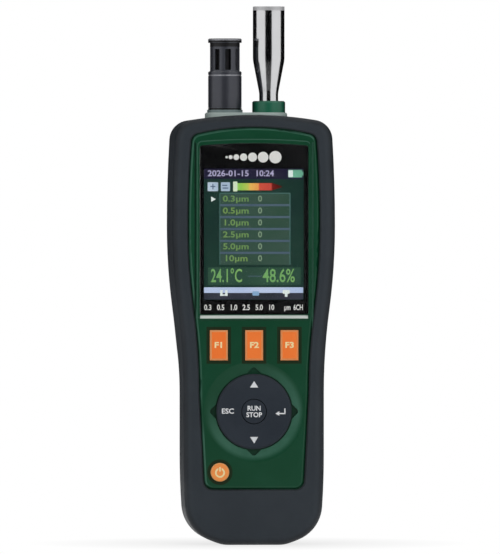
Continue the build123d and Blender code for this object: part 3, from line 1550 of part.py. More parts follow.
filter_top = pump_foot - 2 * nipple_length - tube_gap
with BuildPart() as exhaust_filter:
    with BuildSketch(Plane.XY.offset(filter_top - filter_height)):
        with Locations((probe_x, 0)):
            Circle(filter_radius)
    extrude(amount=filter_height)
    fillet(exhaust_filter.faces().filter_by(Axis.Z).edges(), filter_round)
    with BuildSketch(Plane.XY.offset(filter_top)):
        with Locations((probe_x, 0)):
            Circle(nipple_radius)
    extrude(amount=nipple_length)
    with BuildSketch(Plane.XY.offset(filter_top + nipple_length)):
        with Locations((probe_x, 0)):
            Circle(probe_bore_radius)
    extrude(amount=-2 * nipple_length, mode=Mode.SUBTRACT)
exhaust_filter.part.label = "exhaust_filter"
export_step(exhaust_filter.part, "parts/exhaust_filter.step")

tube_spans = {
    "inlet_tube": (chamber_top + tube_gap, plinth_pad_foot - tube_gap),
    "outlet_tube": (pump_top + tube_gap, chamber_foot - tube_gap),
    "exhaust_tube": (filter_top + tube_gap, pump_foot - tube_gap),
}
for tube_name, (tube_foot, tube_top) in tube_spans.items():
    with BuildPart() as tube:
        with BuildSketch(Plane.XY.offset(tube_foot)):
            with Locations((probe_x, 0)):
                Circle(nipple_radius + screw_fit + tube_wall)
                Circle(nipple_radius + screw_fit, mode=Mode.SUBTRACT)
        extrude(amount=tube_top - tube_foot)
    tube.part.label = tube_name
    export_step(tube.part, f"parts/{tube_name}.step")
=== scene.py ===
"""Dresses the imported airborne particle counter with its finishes, screen picture, printing, light and camera."""

import logging
import math
from contextlib import contextmanager
from dataclasses import dataclass
from enum import Enum
from typing import Callable, Dict, Iterator, Optional, Sequence, Tuple, Union

import bmesh
import bpy
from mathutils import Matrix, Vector


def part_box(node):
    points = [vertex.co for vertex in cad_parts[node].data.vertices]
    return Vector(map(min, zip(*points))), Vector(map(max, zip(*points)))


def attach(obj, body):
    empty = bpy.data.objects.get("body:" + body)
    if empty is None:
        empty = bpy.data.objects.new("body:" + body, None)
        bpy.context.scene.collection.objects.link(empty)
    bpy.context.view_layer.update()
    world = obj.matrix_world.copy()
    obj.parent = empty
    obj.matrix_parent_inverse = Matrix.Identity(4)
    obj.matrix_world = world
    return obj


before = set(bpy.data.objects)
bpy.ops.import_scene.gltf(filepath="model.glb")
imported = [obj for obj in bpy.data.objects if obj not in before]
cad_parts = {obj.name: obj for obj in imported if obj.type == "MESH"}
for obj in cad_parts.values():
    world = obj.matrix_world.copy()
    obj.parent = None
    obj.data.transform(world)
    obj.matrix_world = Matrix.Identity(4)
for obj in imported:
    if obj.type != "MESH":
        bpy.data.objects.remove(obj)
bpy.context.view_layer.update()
LOG = logging.getLogger("particle_counter")
MM = 0.001
FAR = 10.0  # metres, beyond every surface

Colour = Tuple[float, float, float]
Socket = bpy.types.NodeSocket
Sockets = bpy.types.bpy_prop_collection
Feed = Union[float, int, Sequence[float], Socket]


def tone(red: int, green: int, blue: int) -> Colour:
    """Turns a screen colour of 0 to 255 into the linear colour that a shader takes.

    Args:
        red: Red, 0 to 255.
        green: Green, 0 to 255.
        blue: Blue, 0 to 255.

    Returns:
        The linear colour.
    """
    linear = []
    for channel in (red, green, blue):
        part = channel / 255.0
        linear.append(part / 12.92 if part <= 0.04045 else ((part + 0.055) / 1.055) ** 2.4)
    return (linear[0], linear[1], linear[2])


# ---------------------------------------------------------------------------
# Shader effects that several finishes share
# ---------------------------------------------------------------------------
class Wiring:
    """Adds shader nodes to one tree and joins them."""

    def __init__(self, tree: bpy.types.NodeTree) -> None:
        """Keeps the tree, emptied, that the nodes go into."""
        self.tree = tree
        tree.nodes.clear()

    def feed(self, socket: Socket, value: Feed) -> None:
        """Sets a socket to a constant, or links another socket to it.

        Args:
            socket: The input to set.
            value: A number, a colour, or the output that feeds it.
        """
        if isinstance(value, bpy.types.NodeSocket):
            self.tree.links.new(value, socket)
        elif isinstance(value, (int, float)):
            socket.default_value = value
        else:
            socket.default_value = (tuple(value) + (1.0,))[:len(socket.default_value)]

    def node(self, kind: str, settings: Optional[Dict[str, object]] = None,
             feeds: Optional[Dict[Union[str, int], Feed]] = None) -> bpy.types.Node:
        """Makes one node.

        Args:
            kind: The node's type, without ShaderNode.
            settings: Its properties, by name.
            feeds: What its inputs get, by name or place.

        Returns:
            The node.
        """
        made = self.tree.nodes.new(kind if kind.startswith("Node") else "ShaderNode" + kind)
        for name, value in (settings or {}).items():
            setattr(made, name, value)
        for name, value in (feeds or {}).items():
            self.feed(made.inputs[name], value)
        return made

    def sum(self, operation: str, first: Feed, second: Feed = 0.0, clamp: bool = False) -> Socket:
        """Makes one Math node.

        Args:
            operation: The sum that it does.
            first: Its first number.
            second: Its second number.
            clamp: Whether the result stays between 0 and 1.

        Returns:
            Its result.
        """
        made = self.node("Math", {"operation": operation, "use_clamp": clamp}, {0: first, 1: second})
        return made.outputs[0]

    def times(self, first: Feed, second: Feed, clamp: bool = False) -> Socket:
        """Multiplies two numbers."""
        return self.sum("MULTIPLY", first, second, clamp)

    def plus(self, first: Feed, second: Feed, clamp: bool = False) -> Socket:
        """Adds two numbers."""
        return self.sum("ADD", first, second, clamp)

    def less(self, first: Feed, second: Feed) -> Socket:
        """Takes the second number from the first."""
        return self.sum("SUBTRACT", first, second)

    def split(self, vector: Feed) -> Sockets:
        """Splits a vector into its X, Y and Z."""
        return self.node("SeparateXYZ", feeds={0: vector}).outputs

    def facing(self) -> Sockets:
        """Splits the surface's normal into its X, Y and Z."""
        return self.split(self.node("NewGeometry").outputs["Normal"])

    def blend(self, share: Feed, first: Feed, second: Feed) -> Socket:
        """Mixes two colours: a share of 0 gives the first and 1 the second."""
        made = self.node("Mix", {"data_type": "RGBA", "clamp_factor": True}, {0: share, 6: first, 7: second})
        return made.outputs[2]

    def ramp(self, value: Feed, low: Feed, high: Feed) -> Socket:
        """Stretches a value smoothly so that low becomes 0 and high becomes 1."""
        feeds = {"Value": value, "From Min": low, "From Max": high}
        return self.node("MapRange", {"interpolation_type": "SMOOTHSTEP"}, feeds).outputs["Result"]

    def noise(self, place: Feed, scale: Feed, detail: float = 3.0, rough: float = 0.5) -> Socket:
        """Makes a noise pattern of scale lumps to the metre, with detail finer octaves as strong as rough."""
        feeds = {"Vector": place, "Scale": scale, "Detail": detail, "Roughness": rough}
        return self.node("TexNoise", {"noise_dimensions": "3D"}, feeds).outputs[0]


class Effects:
    """The shader node groups, each made once and placed in every material that needs it."""

    def __init__(self) -> None:
        """Builds the groups."""
        self.trees: Dict[str, bpy.types.NodeTree] = {}
        for build in (self.grain, self.handling, self.edges, self.hairlines, self.facets, self.pixels, self.rings):
            build()

    def begin(self, name: str, takes: Dict[str, Optional[Feed]],
              gives: Sequence[str]) -> Tuple[Wiring, Sockets, Sockets]:
        """Starts a group with named sockets.

        Args:
            name: The group's name.
            takes: First value of each input: a colour, a number, or None for a vector.
            gives: Name of each output, of which Color is a colour and the others are numbers.

        Returns:
            Its wiring, what it is given and what it results in.
        """
        tree = self.trees[name] = bpy.data.node_groups.new(name, "ShaderNodeTree")
        for label, first in takes.items():
            kind = "Vector" if first is None else "Color" if isinstance(first, tuple) else "Float"
            made = tree.interface.new_socket(name=label, in_out="INPUT", socket_type="NodeSocket" + kind)
            if first is not None:
                made.default_value = first + (1.0,) if kind == "Color" else first
        for label in gives:
            kind = "Color" if label == "Color" else "Float"
            tree.interface.new_socket(name=label, in_out="OUTPUT", socket_type="NodeSocket" + kind)
        wires = Wiring(tree)
        return wires, wires.node("NodeGroupInput").outputs, wires.node("NodeGroupOutput").inputs

    def grain(self) -> None:
        """Makes fine moulded grain: a height and an uneven roughness."""
        wires, given, result = self.begin(
            "moulded_grain", {"Vector": None, "Grain Scale": 2500.0, "Mottle Scale": 120.0, "Roughness": 0.5,
                              "Spread": 0.1}, ("Height", "Roughness"))
        place = given["Vector"]
        fine = wires.noise(place, given["Grain Scale"], 2.0, 0.6)
        coarse = wires.noise(place, wires.times(given["Grain Scale"], 0.37), 1.0)
        mottle = wires.less(wires.noise(place, given["Mottle Scale"], 4.0, 0.6), 0.5)
        uneven = wires.plus(mottle, wires.times(wires.less(coarse, 0.5), 0.5))
        wires.feed(result["Height"], wires.plus(wires.times(fine, 0.6), wires.times(coarse, 0.4)))
        wires.feed(result["Roughness"], wires.plus(given["Roughness"], wires.times(uneven, given["Spread"]), True))

    def handling(self) -> None:
        """Makes rubbed patches and a film of dust on faces that look up."""
        wires, given, result = self.begin(
            "handling_marks", {"Vector": None, "Color": (0.5, 0.5, 0.5), "Rubbed Color": (0.6, 0.6, 0.6),
                               "Dust Color": (0.4, 0.4, 0.38), "Patch Scale": 45.0, "Rub": 0.3, "Dust": 0.1},
            ("Color",))
        cloud = wires.ramp(wires.noise(given["Vector"], given["Patch Scale"], 5.0, 0.62), 0.38, 0.66)
        speck = wires.ramp(wires.noise(given["Vector"], 900.0, 3.0, 0.7), 0.46, 0.7)
        upward = wires.ramp(wires.facing()["Z"], 0.25, 1.0)
        dust = wires.times(wires.times(upward, speck), given["Dust"])
        rubbed = wires.blend(wires.times(cloud, given["Rub"]), given["Color"], given["Rubbed Color"])
        wires.feed(result["Color"], wires.blend(dust, rubbed, given["Dust Color"]))

    def edges(self) -> None:
        """Makes wear along the edges, broken up by noise; on some finishes its colour is a painted edge highlight."""
        wires, given, result = self.begin(
            "edge_wear_and_highlight", {"Vector": None, "Color": (0.5, 0.5, 0.5), "Edge Color": (0.7, 0.7, 0.7),
                          "Radius": 0.0006, "Amount": 0.5}, ("Color",))
        rounded = wires.node("Bevel", {"samples": 4}, {"Radius": given["Radius"]})
        along = wires.node("VectorMath", {"operation": "DOT_PRODUCT"},
                           {0: rounded.outputs[0], 1: wires.node("NewGeometry").outputs["Normal"]})
        # edge colour: real edge wear, and on the green shell, collar and sensor a painted edge highlight
        turned = wires.ramp(wires.less(1.0, along.outputs["Value"]), 0.01, 0.16)
        broken = wires.ramp(wires.noise(given["Vector"], 420.0, 4.0, 0.65), 0.3, 0.62)
        wear_and_lit_share = wires.times(wires.times(turned, broken), given["Amount"], True)
        wires.feed(result["Color"], wires.blend(wear_and_lit_share, given["Color"], given["Edge Color"]))

    def hairlines(self) -> None:
        """Makes very fine lines along the upright axis, as drawn or wiped metal and glass have."""
        wires, given, result = self.begin(
            "hairlines", {"Vector": None, "Roughness": 0.1, "Spread": 0.08, "Smear Scale": 60.0},
            ("Height", "Roughness"))
        stretch = wires.node("Mapping", feeds={"Vector": given["Vector"], "Scale": (1.0, 1.0, 0.03)})
        lines = wires.noise(stretch.outputs[0], 5200.0, 2.0, 0.7)
        smear = wires.ramp(wires.noise(given["Vector"], given["Smear Scale"], 4.0, 0.6), 0.42, 0.72)
        extra = wires.plus(wires.times(lines, 0.4), wires.times(smear, 0.8))
        wires.feed(result["Height"], lines)
        wires.feed(result["Roughness"], wires.plus(given["Roughness"], wires.times(extra, given["Spread"]), True))

    def facets(self) -> None:
        """Paints light and shade by the way a face turns: other colours for slopes that catch the light, a painted
        highlight or painted shade, and painted shade for walls and for sunk floors.

        Slopes count as lit where they lean down and to the side, and their colour fades towards one ring.
        """
        wires, given, result = self.begin(
            "painted_facet_light", {"Vector": None, "Color": (0.5, 0.5, 0.5), "Painted Slope Color": (0.7, 0.7, 0.7),
                           "Painted Wall Shade": (0.2, 0.2, 0.2), "Steep": 0.9, "Flat": 0.995, "Lean Low": -2.0,
                           "Lean High": -1.5, "Ring Height": 0.0, "Ring Radius": FAR, "Ring Softness": 0.003,
                           "Deep": FAR}, ("Color",))
        facing, place = wires.facing(), wires.split(given["Vector"])
        depth = wires.sum("ABSOLUTE", facing["Y"])
        lean = wires.less(wires.times(facing["Z"], 0.8), wires.times(facing["X"], 0.6))
        caught = wires.ramp(lean, given["Lean Low"], given["Lean High"])
        tilted = wires.less(1.0, wires.ramp(depth, given["Steep"], given["Flat"]))
        rise = wires.less(place["Z"], given["Ring Height"])
        reach = wires.sum("POWER", wires.plus(wires.times(rise, rise), wires.times(place["X"], place["X"])), 0.5)
        beside = wires.sum("ABSOLUTE", wires.less(reach, given["Ring Radius"]))
        lit = wires.times(wires.times(tilted, caught), wires.ramp(beside, 0.0, given["Ring Softness"]))
        slope = wires.blend(lit, given["Color"], given["Painted Slope Color"])
        # painted shade: faces sunk behind Deep take the wall colour
        sunk = wires.times(wires.sum("GREATER_THAN", place["Y"], given["Deep"]), 0.75)
        front = wires.less(wires.ramp(depth, 0.15, 0.5), sunk)
        wires.feed(result["Color"], wires.blend(front, given["Painted Wall Shade"], slope))

    def pixels(self) -> None:
        """Makes the fine dot grid of a lit display, with a slow change of brightness."""
        wires, given, result = self.begin(
            "display_dots", {"Vector": None, "Color": (0.5, 0.5, 0.5), "Far Color": (0.4, 0.4, 0.4),
                             "Pitch": 0.00019, "Gap": 0.35}, ("Color",))
        place = wires.split(given["Vector"])
        shade: Feed = 1.0
        for axis in ("X", "Z"):
            step = wires.sum("FRACT", wires.sum("DIVIDE", place[axis], given["Pitch"]))
            line = wires.sum("GREATER_THAN", step, 0.82)
            shade = wires.times(shade, wires.less(1.0, wires.times(line, given["Gap"])))
        slow = wires.ramp(wires.noise(given["Vector"], 42.0, 2.0), 0.35, 0.65)
        base = wires.blend(slow, given["Color"], given["Far Color"])
        wires.feed(result["Color"], wires.blend(shade, (0.0, 0.0, 0.0), base))

    def rings(self) -> None:
        """Makes fine rings round the upright axis of its coordinates, as a lathe leaves."""
        wires, given, result = self.begin(
            "turned_rings", {"Vector": None, "Pitch": 0.00022, "Roughness": 0.3, "Spread": 0.08},
            ("Height", "Roughness"))
        wander = wires.noise(given["Vector"], 300.0, 2.0)
        turns = wires.sum("DIVIDE", wires.split(given["Vector"])["Z"], given["Pitch"])
        rings = wires.sum("SINE", wires.times(wires.plus(turns, wires.times(wander, 0.7)), 2 * math.pi))
        blotch = wires.less(wires.noise(given["Vector"], 150.0, 4.0, 0.6), 0.5)
        wires.feed(result["Height"], wires.times(wires.plus(rings, 1.0), 0.5))
        wires.feed(result["Roughness"], wires.plus(given["Roughness"], wires.times(blotch, given["Spread"]), True))


# ---------------------------------------------------------------------------
# Finishes
# ---------------------------------------------------------------------------
@dataclass
class Paint:
    """What a finish works on: a material's wiring, shader and object coordinates, and the shared groups."""

    wires: Wiring
    shader: bpy.types.Node
    place: Socket
    effects: Effects

    def group(self, name: str, feeds: Dict[str, Feed]) -> Sockets:
        """Places a shared group on the object coordinates and gives its outputs."""
        settings = {"node_tree": self.effects.trees[name]}
        return self.wires.node("Group", settings, {"Vector": self.place, **feeds}).outputs

    def set(self, values: Dict[str, Feed]) -> None:
        """Feeds the shader's inputs, by name."""
        for name, value in values.items():
            self.wires.feed(self.shader.inputs[name], value)

    def bump(self, height: Socket, distance: float) -> None:
        """Feeds a height pattern, as deep as distance in metres, into the shader's normal."""
        made = self.wires.node("Bump", feeds={"Height": height, "Distance": distance, "Strength": 1.0})
        self.set({"Normal": made.outputs[0]})


@dataclass(frozen=True)
class Finish:
    """What every finish has: its name, the record's slot and a way to make its material."""

    name: str
    slot: str

    def material(self, effects: Effects) -> bpy.types.Material:
        """Makes the material, or returns the one made before.

        Args:
            effects: The shared node groups.

        Returns:
            The material.
        """
        known = bpy.data.materials.get(self.name)
        if known is not None:
            return known
        made = bpy.data.materials.new(self.name)
        made.use_nodes = True
        wires = Wiring(made.node_tree)
        shader = wires.node("BsdfPrincipled")
        wires.feed(wires.node("OutputMaterial").inputs["Surface"], shader.outputs[0])
        self.dress(Paint(wires, shader, wires.node("TexCoord").outputs["Object"], effects))
        return made

    def dress(self, paint: Paint) -> None:
        """Sets the shader's sockets; each kind of finish has its own."""
        raise NotImplementedError


@dataclass(frozen=True)
class Moulded(Finish):
    """Moulded rubber or plastic: grain, rubbed patches, dust, edge wear that is partly a painted highlight, and
    painted light and shade on slopes, walls and sunk floors.
    """

    colour: Colour = (0.5, 0.5, 0.5)
    rubbed: Colour = (0.6, 0.6, 0.6)
    roughness: float = 0.5
    spread: float = 0.12
    specular: float = 0.5
    coat: float = 0.0
    coat_roughness: float = 0.2
    metallic: float = 0.0
    grain_scale: float = 2600.0
    grain_depth: float = 0.00003
    mottle_scale: float = 110.0
    patch_scale: float = 45.0
    rub: float = 0.3
    dust: float = 0.1
    edge: float = 0.0
    edge_radius: float = 0.0006
    edge_colour: Colour = (0.7, 0.7, 0.7)
    # painted light and shade: the slope colour is a painted highlight or painted shade on faces turned from the
    # front, where they lean as lean gives and fading towards ring; the wall colour is painted shade on walls and on
    # floors sunk behind deep
    painted_slope_colour: Optional[Colour] = None
    painted_wall_shade: Colour = (0.1, 0.1, 0.1)
    steep: float = 0.9
    flat: float = 0.995
    lean: Tuple[float, float] = (-2.0, -1.5)
    ring: Tuple[float, float] = (0.0, FAR)
    deep: float = FAR

    def dress(self, paint: Paint) -> None:
        """Sets colour, roughness and grain.

        Args:
            paint: The material's parts.
        """
        colour: Feed = self.colour
        # painted light and shade, set by which way each face turns
        if self.painted_slope_colour is not None:
            colour = paint.group("painted_facet_light", {
                "Color": colour, "Painted Slope Color": self.painted_slope_colour, "Painted Wall Shade": self.painted_wall_shade,
                "Steep": self.steep, "Flat": self.flat, "Lean Low": self.lean[0], "Lean High": self.lean[1],
                "Ring Height": self.ring[0], "Ring Radius": self.ring[1], "Deep": self.deep})["Color"]
        colour = paint.group("handling_marks", {"Color": colour, "Rubbed Color": self.rubbed, "Rub": self.rub,
                                                "Patch Scale": self.patch_scale, "Dust": self.dust})["Color"]
        if self.edge:
            colour = paint.group("edge_wear_and_highlight", {"Color": colour, "Edge Color": self.edge_colour,
                                               "Radius": self.edge_radius, "Amount": self.edge})["Color"]
        grain = paint.group("moulded_grain", {"Grain Scale": self.grain_scale, "Mottle Scale": self.mottle_scale,
                                              "Roughness": self.roughness, "Spread": self.spread})
        paint.set({"Base Color": colour, "Roughness": grain["Roughness"], "Metallic": self.metallic,
                   "Specular IOR Level": self.specular, "Coat Weight": self.coat,
                   "Coat Roughness": self.coat_roughness})
        paint.bump(grain["Height"], self.grain_depth)


class Lay(Enum):
    """Which way the fine marks on a metal run, by the group that draws them."""

    DRAWN = "hairlines"
    TURNED = "turned_rings"
    CAST = "moulded_grain"


@dataclass(frozen=True)
class Metal(Finish):
    """Bare or plated metal, whose face above satin_above is duller."""

    colour: Colour = (0.6, 0.6, 0.6)
    shade: Colour = (0.5, 0.5, 0.5)
    roughness: float = 0.25
    spread: float = 0.1
    lay: Lay = Lay.DRAWN
    mark_depth: float = 0.000002
    turn: Tuple[float, float, float] = (0.0, 0.0, 0.0)
    rub: float = 0.35
    dust: float = 0.02
    satin_above: float = 0.0
    satin: float = 0.35

    def dress(self, paint: Paint) -> None:
        """Sets colour, roughness and the fine marks.

        Args:
            paint: The material's parts.
        """
        wires = paint.wires
        moved = wires.node("Mapping", {"vector_type": "TEXTURE"}, {"Vector": paint.place, "Rotation": self.turn})
        marks = paint.group("handling_marks", {"Color": self.colour, "Rubbed Color": self.shade,
                                               "Patch Scale": 90.0, "Rub": self.rub, "Dust": self.dust})
        fine = paint.group(self.lay.value, {"Vector": moved.outputs[0], "Roughness": self.roughness,
                                            "Spread": self.spread})
        roughness = fine["Roughness"]
        if self.satin_above:
            top = wires.ramp(wires.split(paint.place)["Z"], self.satin_above, self.satin_above + 0.0002)
            roughness = wires.plus(roughness, wires.times(top, self.satin), True)
        paint.set({"Base Color": marks["Color"], "Metallic": 1.0, "Roughness": roughness})
        paint.bump(fine["Height"], self.mark_depth)


@dataclass(frozen=True)
class ClearPane(Finish):
    """Clear glass or acrylic with wiped smears."""

    colour: Colour = (0.97, 0.98, 0.98)
    roughness: float = 0.02
    ior: float = 1.49

    def dress(self, paint: Paint) -> None:
        """Sets the glass and its smears."""
        smear = paint.group("hairlines", {"Roughness": self.roughness, "Spread": 0.012, "Smear Scale": 45.0})
        paint.set({"Base Color": self.colour, "Transmission Weight": 1.0, "IOR": self.ior,
                   "Roughness": smear["Roughness"]})


@dataclass(frozen=True)
class Lit(Finish):
    """A lit patch of the colour display."""

    colour: Colour = (0.5, 0.5, 0.5)
    far: Optional[Colour] = None
    gap: float = 0.3

    def glow(self, paint: Paint, near: Feed, far: Feed) -> None:
        """Lights the dot grid in two colours on a black ground."""
        dots = paint.group("display_dots", {"Color": near, "Far Color": far, "Gap": self.gap})
        paint.set({"Base Color": (0.004, 0.005, 0.006), "Roughness": 0.3, "Emission Color": dots["Color"],
                   "Emission Strength": 1.0})

    def dress(self, paint: Paint) -> None:
        """Sets the glow and the dot grid."""
        self.glow(paint, self.colour, self.far or self.colour)


@dataclass(frozen=True)
class Spectrum(Lit):
    """The level bar of the display, which runs from green through yellow to red."""

    gap: float = 0.2
    left: float = 0.0
    right: float = 1.0

    def dress(self, paint: Paint) -> None:
        """Sets the glow by the place along the bar.

        Args:
            paint: The material's parts.
        """
        wires = paint.wires
        span = {"Value": wires.split(paint.place)["X"], "From Min": self.left, "From Max": self.right}
        bands = wires.node("ValToRGB", feeds={"Fac": wires.node("MapRange", feeds=span).outputs["Result"]})
        stops = [(0.0, tone(170, 225, 120)), (0.14, tone(150, 205, 84)), (0.28, tone(190, 205, 90)),
                 (0.34, tone(240, 188, 90)), (0.50, tone(240, 160, 84)), (0.53, tone(214, 84, 62)),
                 (0.77, tone(200, 72, 60)), (0.80, tone(110, 22, 16)), (1.0, tone(84, 14, 10))]
        while len(bands.color_ramp.elements) < len(stops):
            bands.color_ramp.elements.new(0.5)
        for element, (where, colour) in zip(bands.color_ramp.elements, stops):
            element.position = where
            element.color = colour + (1.0,)
        self.glow(paint, bands.outputs["Color"], bands.outputs["Color"])


# painted shade: the darker slope colour on the rubber's rounded sides and the wall colour on its walls; the lighter
# edge colour is edge wear
GRIP = Moulded("grip_rubber_fine", "grip_rubber", tone(44, 50, 56), tone(53, 59, 65), 0.52, 0.16, 0.25,
               grain_scale=1700.0, grain_depth=0.000035, patch_scale=38.0, rub=0.35, dust=0.04,
               edge=0.35, edge_radius=0.0008, edge_colour=tone(74, 80, 86),
               painted_slope_colour=tone(32, 37, 42), painted_wall_shade=tone(38, 43, 48), steep=0.75, flat=0.97)
# painted light: the slope colour is a painted highlight on the dish rim round the pad and on edges turned up and to
# the left; the wall colour is painted shade on walls and on floors sunk behind the panel; the edge colour is a
# painted edge highlight
GREEN = Moulded("green_shell_fine", "green_shell", tone(4, 63, 38), tone(15, 72, 49), 0.36, 0.12, 0.28,
                grain_scale=3000.0, grain_depth=0.00001, patch_scale=24.0, rub=0.6, dust=0.08,
                edge=0.45, edge_radius=0.0005, edge_colour=tone(56, 104, 84),
                painted_slope_colour=tone(56, 102, 83), painted_wall_shade=tone(4, 32, 20), steep=0.9972, flat=0.9999,
                lean=(-0.13, 0.05), ring=(0.0597, 0.0225), deep=-0.0253)
# painted shade: the dark slope and wall colours on the collar's sides turned from the front; the bright edge colour
# is a painted edge highlight
COLLAR = Moulded("green_collar_fine", "green_collar", tone(20, 98, 72), tone(26, 108, 82), 0.36, 0.1, 0.5,
                 grain_depth=0.00001, rub=0.3, edge=0.5, edge_colour=tone(90, 165, 140),
                 painted_slope_colour=tone(9, 40, 30), painted_wall_shade=tone(9, 40, 30), steep=0.3, flat=0.72)
REAR = Moulded("rear_shell_fine", "rear_shell", tone(34, 38, 42), tone(42, 46, 50), 0.48, 0.14,
               grain_scale=1500.0, grain_depth=0.00003, rub=0.35, dust=0.12,
               edge=0.4, edge_radius=0.0005, edge_colour=tone(72, 76, 80))
PLINTH = Moulded("plinth_fine", "plinth_plastic", tone(186, 202, 197), tone(196, 210, 206), 0.42, 0.1,
                 grain_depth=0.00001, dust=0.15)
# painted light: the pale slope colour is a painted highlight on the key bevels, the dark wall colour painted shade on
# the key sides
KEY = Moulded("orange_key_fine", "orange_key", tone(255, 124, 44), tone(255, 136, 58), 0.42, 0.1, 0.4,
              grain_scale=3200.0, grain_depth=0.000008, rub=0.5, dust=0.04,
              painted_slope_colour=tone(252, 172, 112), painted_wall_shade=tone(150, 62, 22))
PAD = Moulded("key_grey_fine", "key_grey", tone(34, 41, 50), tone(44, 51, 60), 0.5, 0.14, 0.28,
              grain_scale=2400.0, grain_depth=0.00002, rub=0.45, dust=0.06,
              edge=0.3, edge_radius=0.0004, edge_colour=tone(72, 82, 90))
# the pale edge colour is edge wear and a painted highlight on the sensor's edges
GRAPHITE = Moulded("sensor_fine", "sensor_plastic", tone(60, 62, 70), tone(72, 74, 82), 0.34, 0.1, 0.5,
                   metallic=0.3, coat=0.15, coat_roughness=0.3, grain_depth=0.000006, rub=0.4, dust=0.3,
                   edge=0.6, edge_radius=0.0004, edge_colour=tone(116, 124, 132))
BLACK = Moulded("black_plastic_fine", "black_plastic", tone(20, 20, 22), tone(30, 30, 33), 0.35, 0.1,
                grain_depth=0.000008, rub=0.4, edge=0.3, edge_colour=tone(64, 64, 68))
FRAME = Moulded("frame_plastic_fine", "frame_plastic", tone(48, 48, 50), tone(58, 58, 60), 0.5)
PRINT_BLACK = Moulded("window_print", "window_lens", tone(3, 3, 6), tone(5, 5, 9), 0.25, 0.05,
                      grain_depth=0.000001, rub=0.3, dust=0.0)
WHITE_INK = Moulded("white_ink", "window_lens", tone(236, 236, 232), tone(220, 220, 216), 0.55, 0.1,
                    grain_depth=0.000004, rub=0.5, dust=0.0)
KEY_INK = Moulded("key_ink", "key_grey", tone(236, 238, 240), tone(214, 218, 222), 0.6, 0.1,
                  grain_depth=0.000004, rub=0.6, dust=0.0)
# painted shade in the left groove beside the window; groove_lit below is painted light in the right groove
GROOVE = Moulded("groove_painted_shade", "green_shell", tone(4, 34, 22), tone(8, 40, 28), 0.6, 0.1, 0.2)
GROOVE_LIT = Moulded("groove_lit", "green_shell", tone(40, 84, 66), tone(50, 94, 74), 0.5, 0.1, 0.3)
FLANGE = Moulded("sensor_flange", "plinth_plastic", tone(118, 134, 134), tone(130, 146, 146), 0.4, 0.1, dust=0.1)
# dark bands round the sensor; the two under its cap are painted shade
BAND = Moulded("sensor_band", "sensor_plastic", tone(18, 18, 20), tone(26, 26, 29), 0.45, 0.1, 0.3)
# painted highlight: pale rings where light catches the sensor's barrel rim and cap edge
TRIM_HIGHLIGHT = Moulded("sensor_painted_highlight", "sensor_plastic", tone(150, 151, 157), tone(164, 165, 171), 0.35, 0.1, metallic=0.2)
# painted shadow round the orange keys
KEY_SHADE = Moulded("key_shade", "green_shell", tone(22, 38, 18), tone(28, 44, 22), 0.6, 0.1, 0.2)
PALE_INK = Moulded("pale_key_ink", "orange_key", tone(255, 236, 178), tone(252, 224, 160), 0.6, 0.1,
                   grain_depth=0.000004, rub=0.6, dust=0.0)
# painted highlight: a pale strip standing for the light caught on the sloping sill under the window
SILL_HIGHLIGHT = Moulded("sill_painted_highlight", "window_lens", tone(214, 222, 216), tone(196, 206, 200), 0.28, 0.1,
               coat=0.4, grain_depth=0.000003, rub=0.4, dust=0.0)
FOAM = Moulded("foam_fine", "foam", tone(24, 24, 25), tone(32, 32, 33), 0.85, 0.1, grain_scale=1500.0,
               grain_depth=0.0001)
SEAL = Moulded("seal_rubber_fine", "seal_rubber", tone(32, 33, 35), tone(40, 41, 43), 0.6, 0.12)
TUBE = Moulded("tube_fine", "tube_rubber", tone(198, 194, 180), tone(186, 180, 164), 0.4, 0.1)
FILTER = Moulded("filter_fine", "filter_plastic", tone(216, 220, 220), tone(202, 206, 206), 0.4, 0.1)
LAMINATE = Moulded("laminate_fine", "board_laminate", tone(14, 84, 52), tone(22, 98, 62), 0.3, 0.1,
                   grain_scale=1400.0, grain_depth=0.00002, rub=0.6)
WRAP = Moulded("battery_wrap_fine", "battery_wrap", tone(28, 58, 120), tone(38, 70, 134), 0.25, 0.1)
LAMP = Moulded("lamp_lens_fine", "lamp_lens", tone(226, 230, 228), tone(212, 216, 214), 0.12, 0.06, coat=1.0,
               coat_roughness=0.05, grain_depth=0.000002)
# painted light: the pale slope colour is a painted highlight on the key's rim, the dark wall colour painted shade on
# its sides
POWER_KEY = Moulded("power_key_fine", "orange_key", tone(255, 152, 74), tone(255, 162, 86), 0.42, 0.1, 0.4,
                    grain_scale=3200.0, grain_depth=0.000008, rub=0.5, dust=0.04,
                    painted_slope_colour=tone(255, 196, 130), painted_wall_shade=tone(150, 62, 22), steep=0.6, flat=0.999)
POLISHED = Metal("probe_polished", "probe_steel", (0.64, 0.64, 0.65), (0.58, 0.58, 0.6), 0.14, 0.05,
                 mark_depth=0.0000004, satin_above=0.2391, satin=0.5)
ZINC = Metal("zinc_fine", "zinc_steel", (0.55, 0.56, 0.58), (0.46, 0.47, 0.48), 0.32, 0.14, Lay.CAST)
TINNED = Metal("tinned_fine", "tinned_steel", (0.62, 0.62, 0.60), (0.54, 0.54, 0.53), 0.28, 0.12)
SPRING = Metal("spring_fine", "spring_steel", (0.58, 0.58, 0.56), (0.5, 0.5, 0.48), 0.25, 0.12)
BRASS = Metal("brass_fine", "brass_insert", (0.66, 0.48, 0.2), (0.52, 0.36, 0.14), 0.24, 0.12, Lay.TURNED,
              turn=(math.pi / 2, 0.0, 0.0))
ANODISED = Metal("black_aluminium_fine", "black_aluminium", (0.035, 0.035, 0.038), (0.05, 0.05, 0.052), 0.4, 0.12,
                 Lay.CAST)
MIRROR = Metal("mirror_fine", "mirror_coat", (0.9, 0.9, 0.9), (0.86, 0.86, 0.87), 0.02, 0.02)
PANE = ClearPane("window_pane", "window_lens")
GLASS = ClearPane("optic_glass", "clear_glass", (0.94, 0.97, 0.98), 0.01, 1.52)
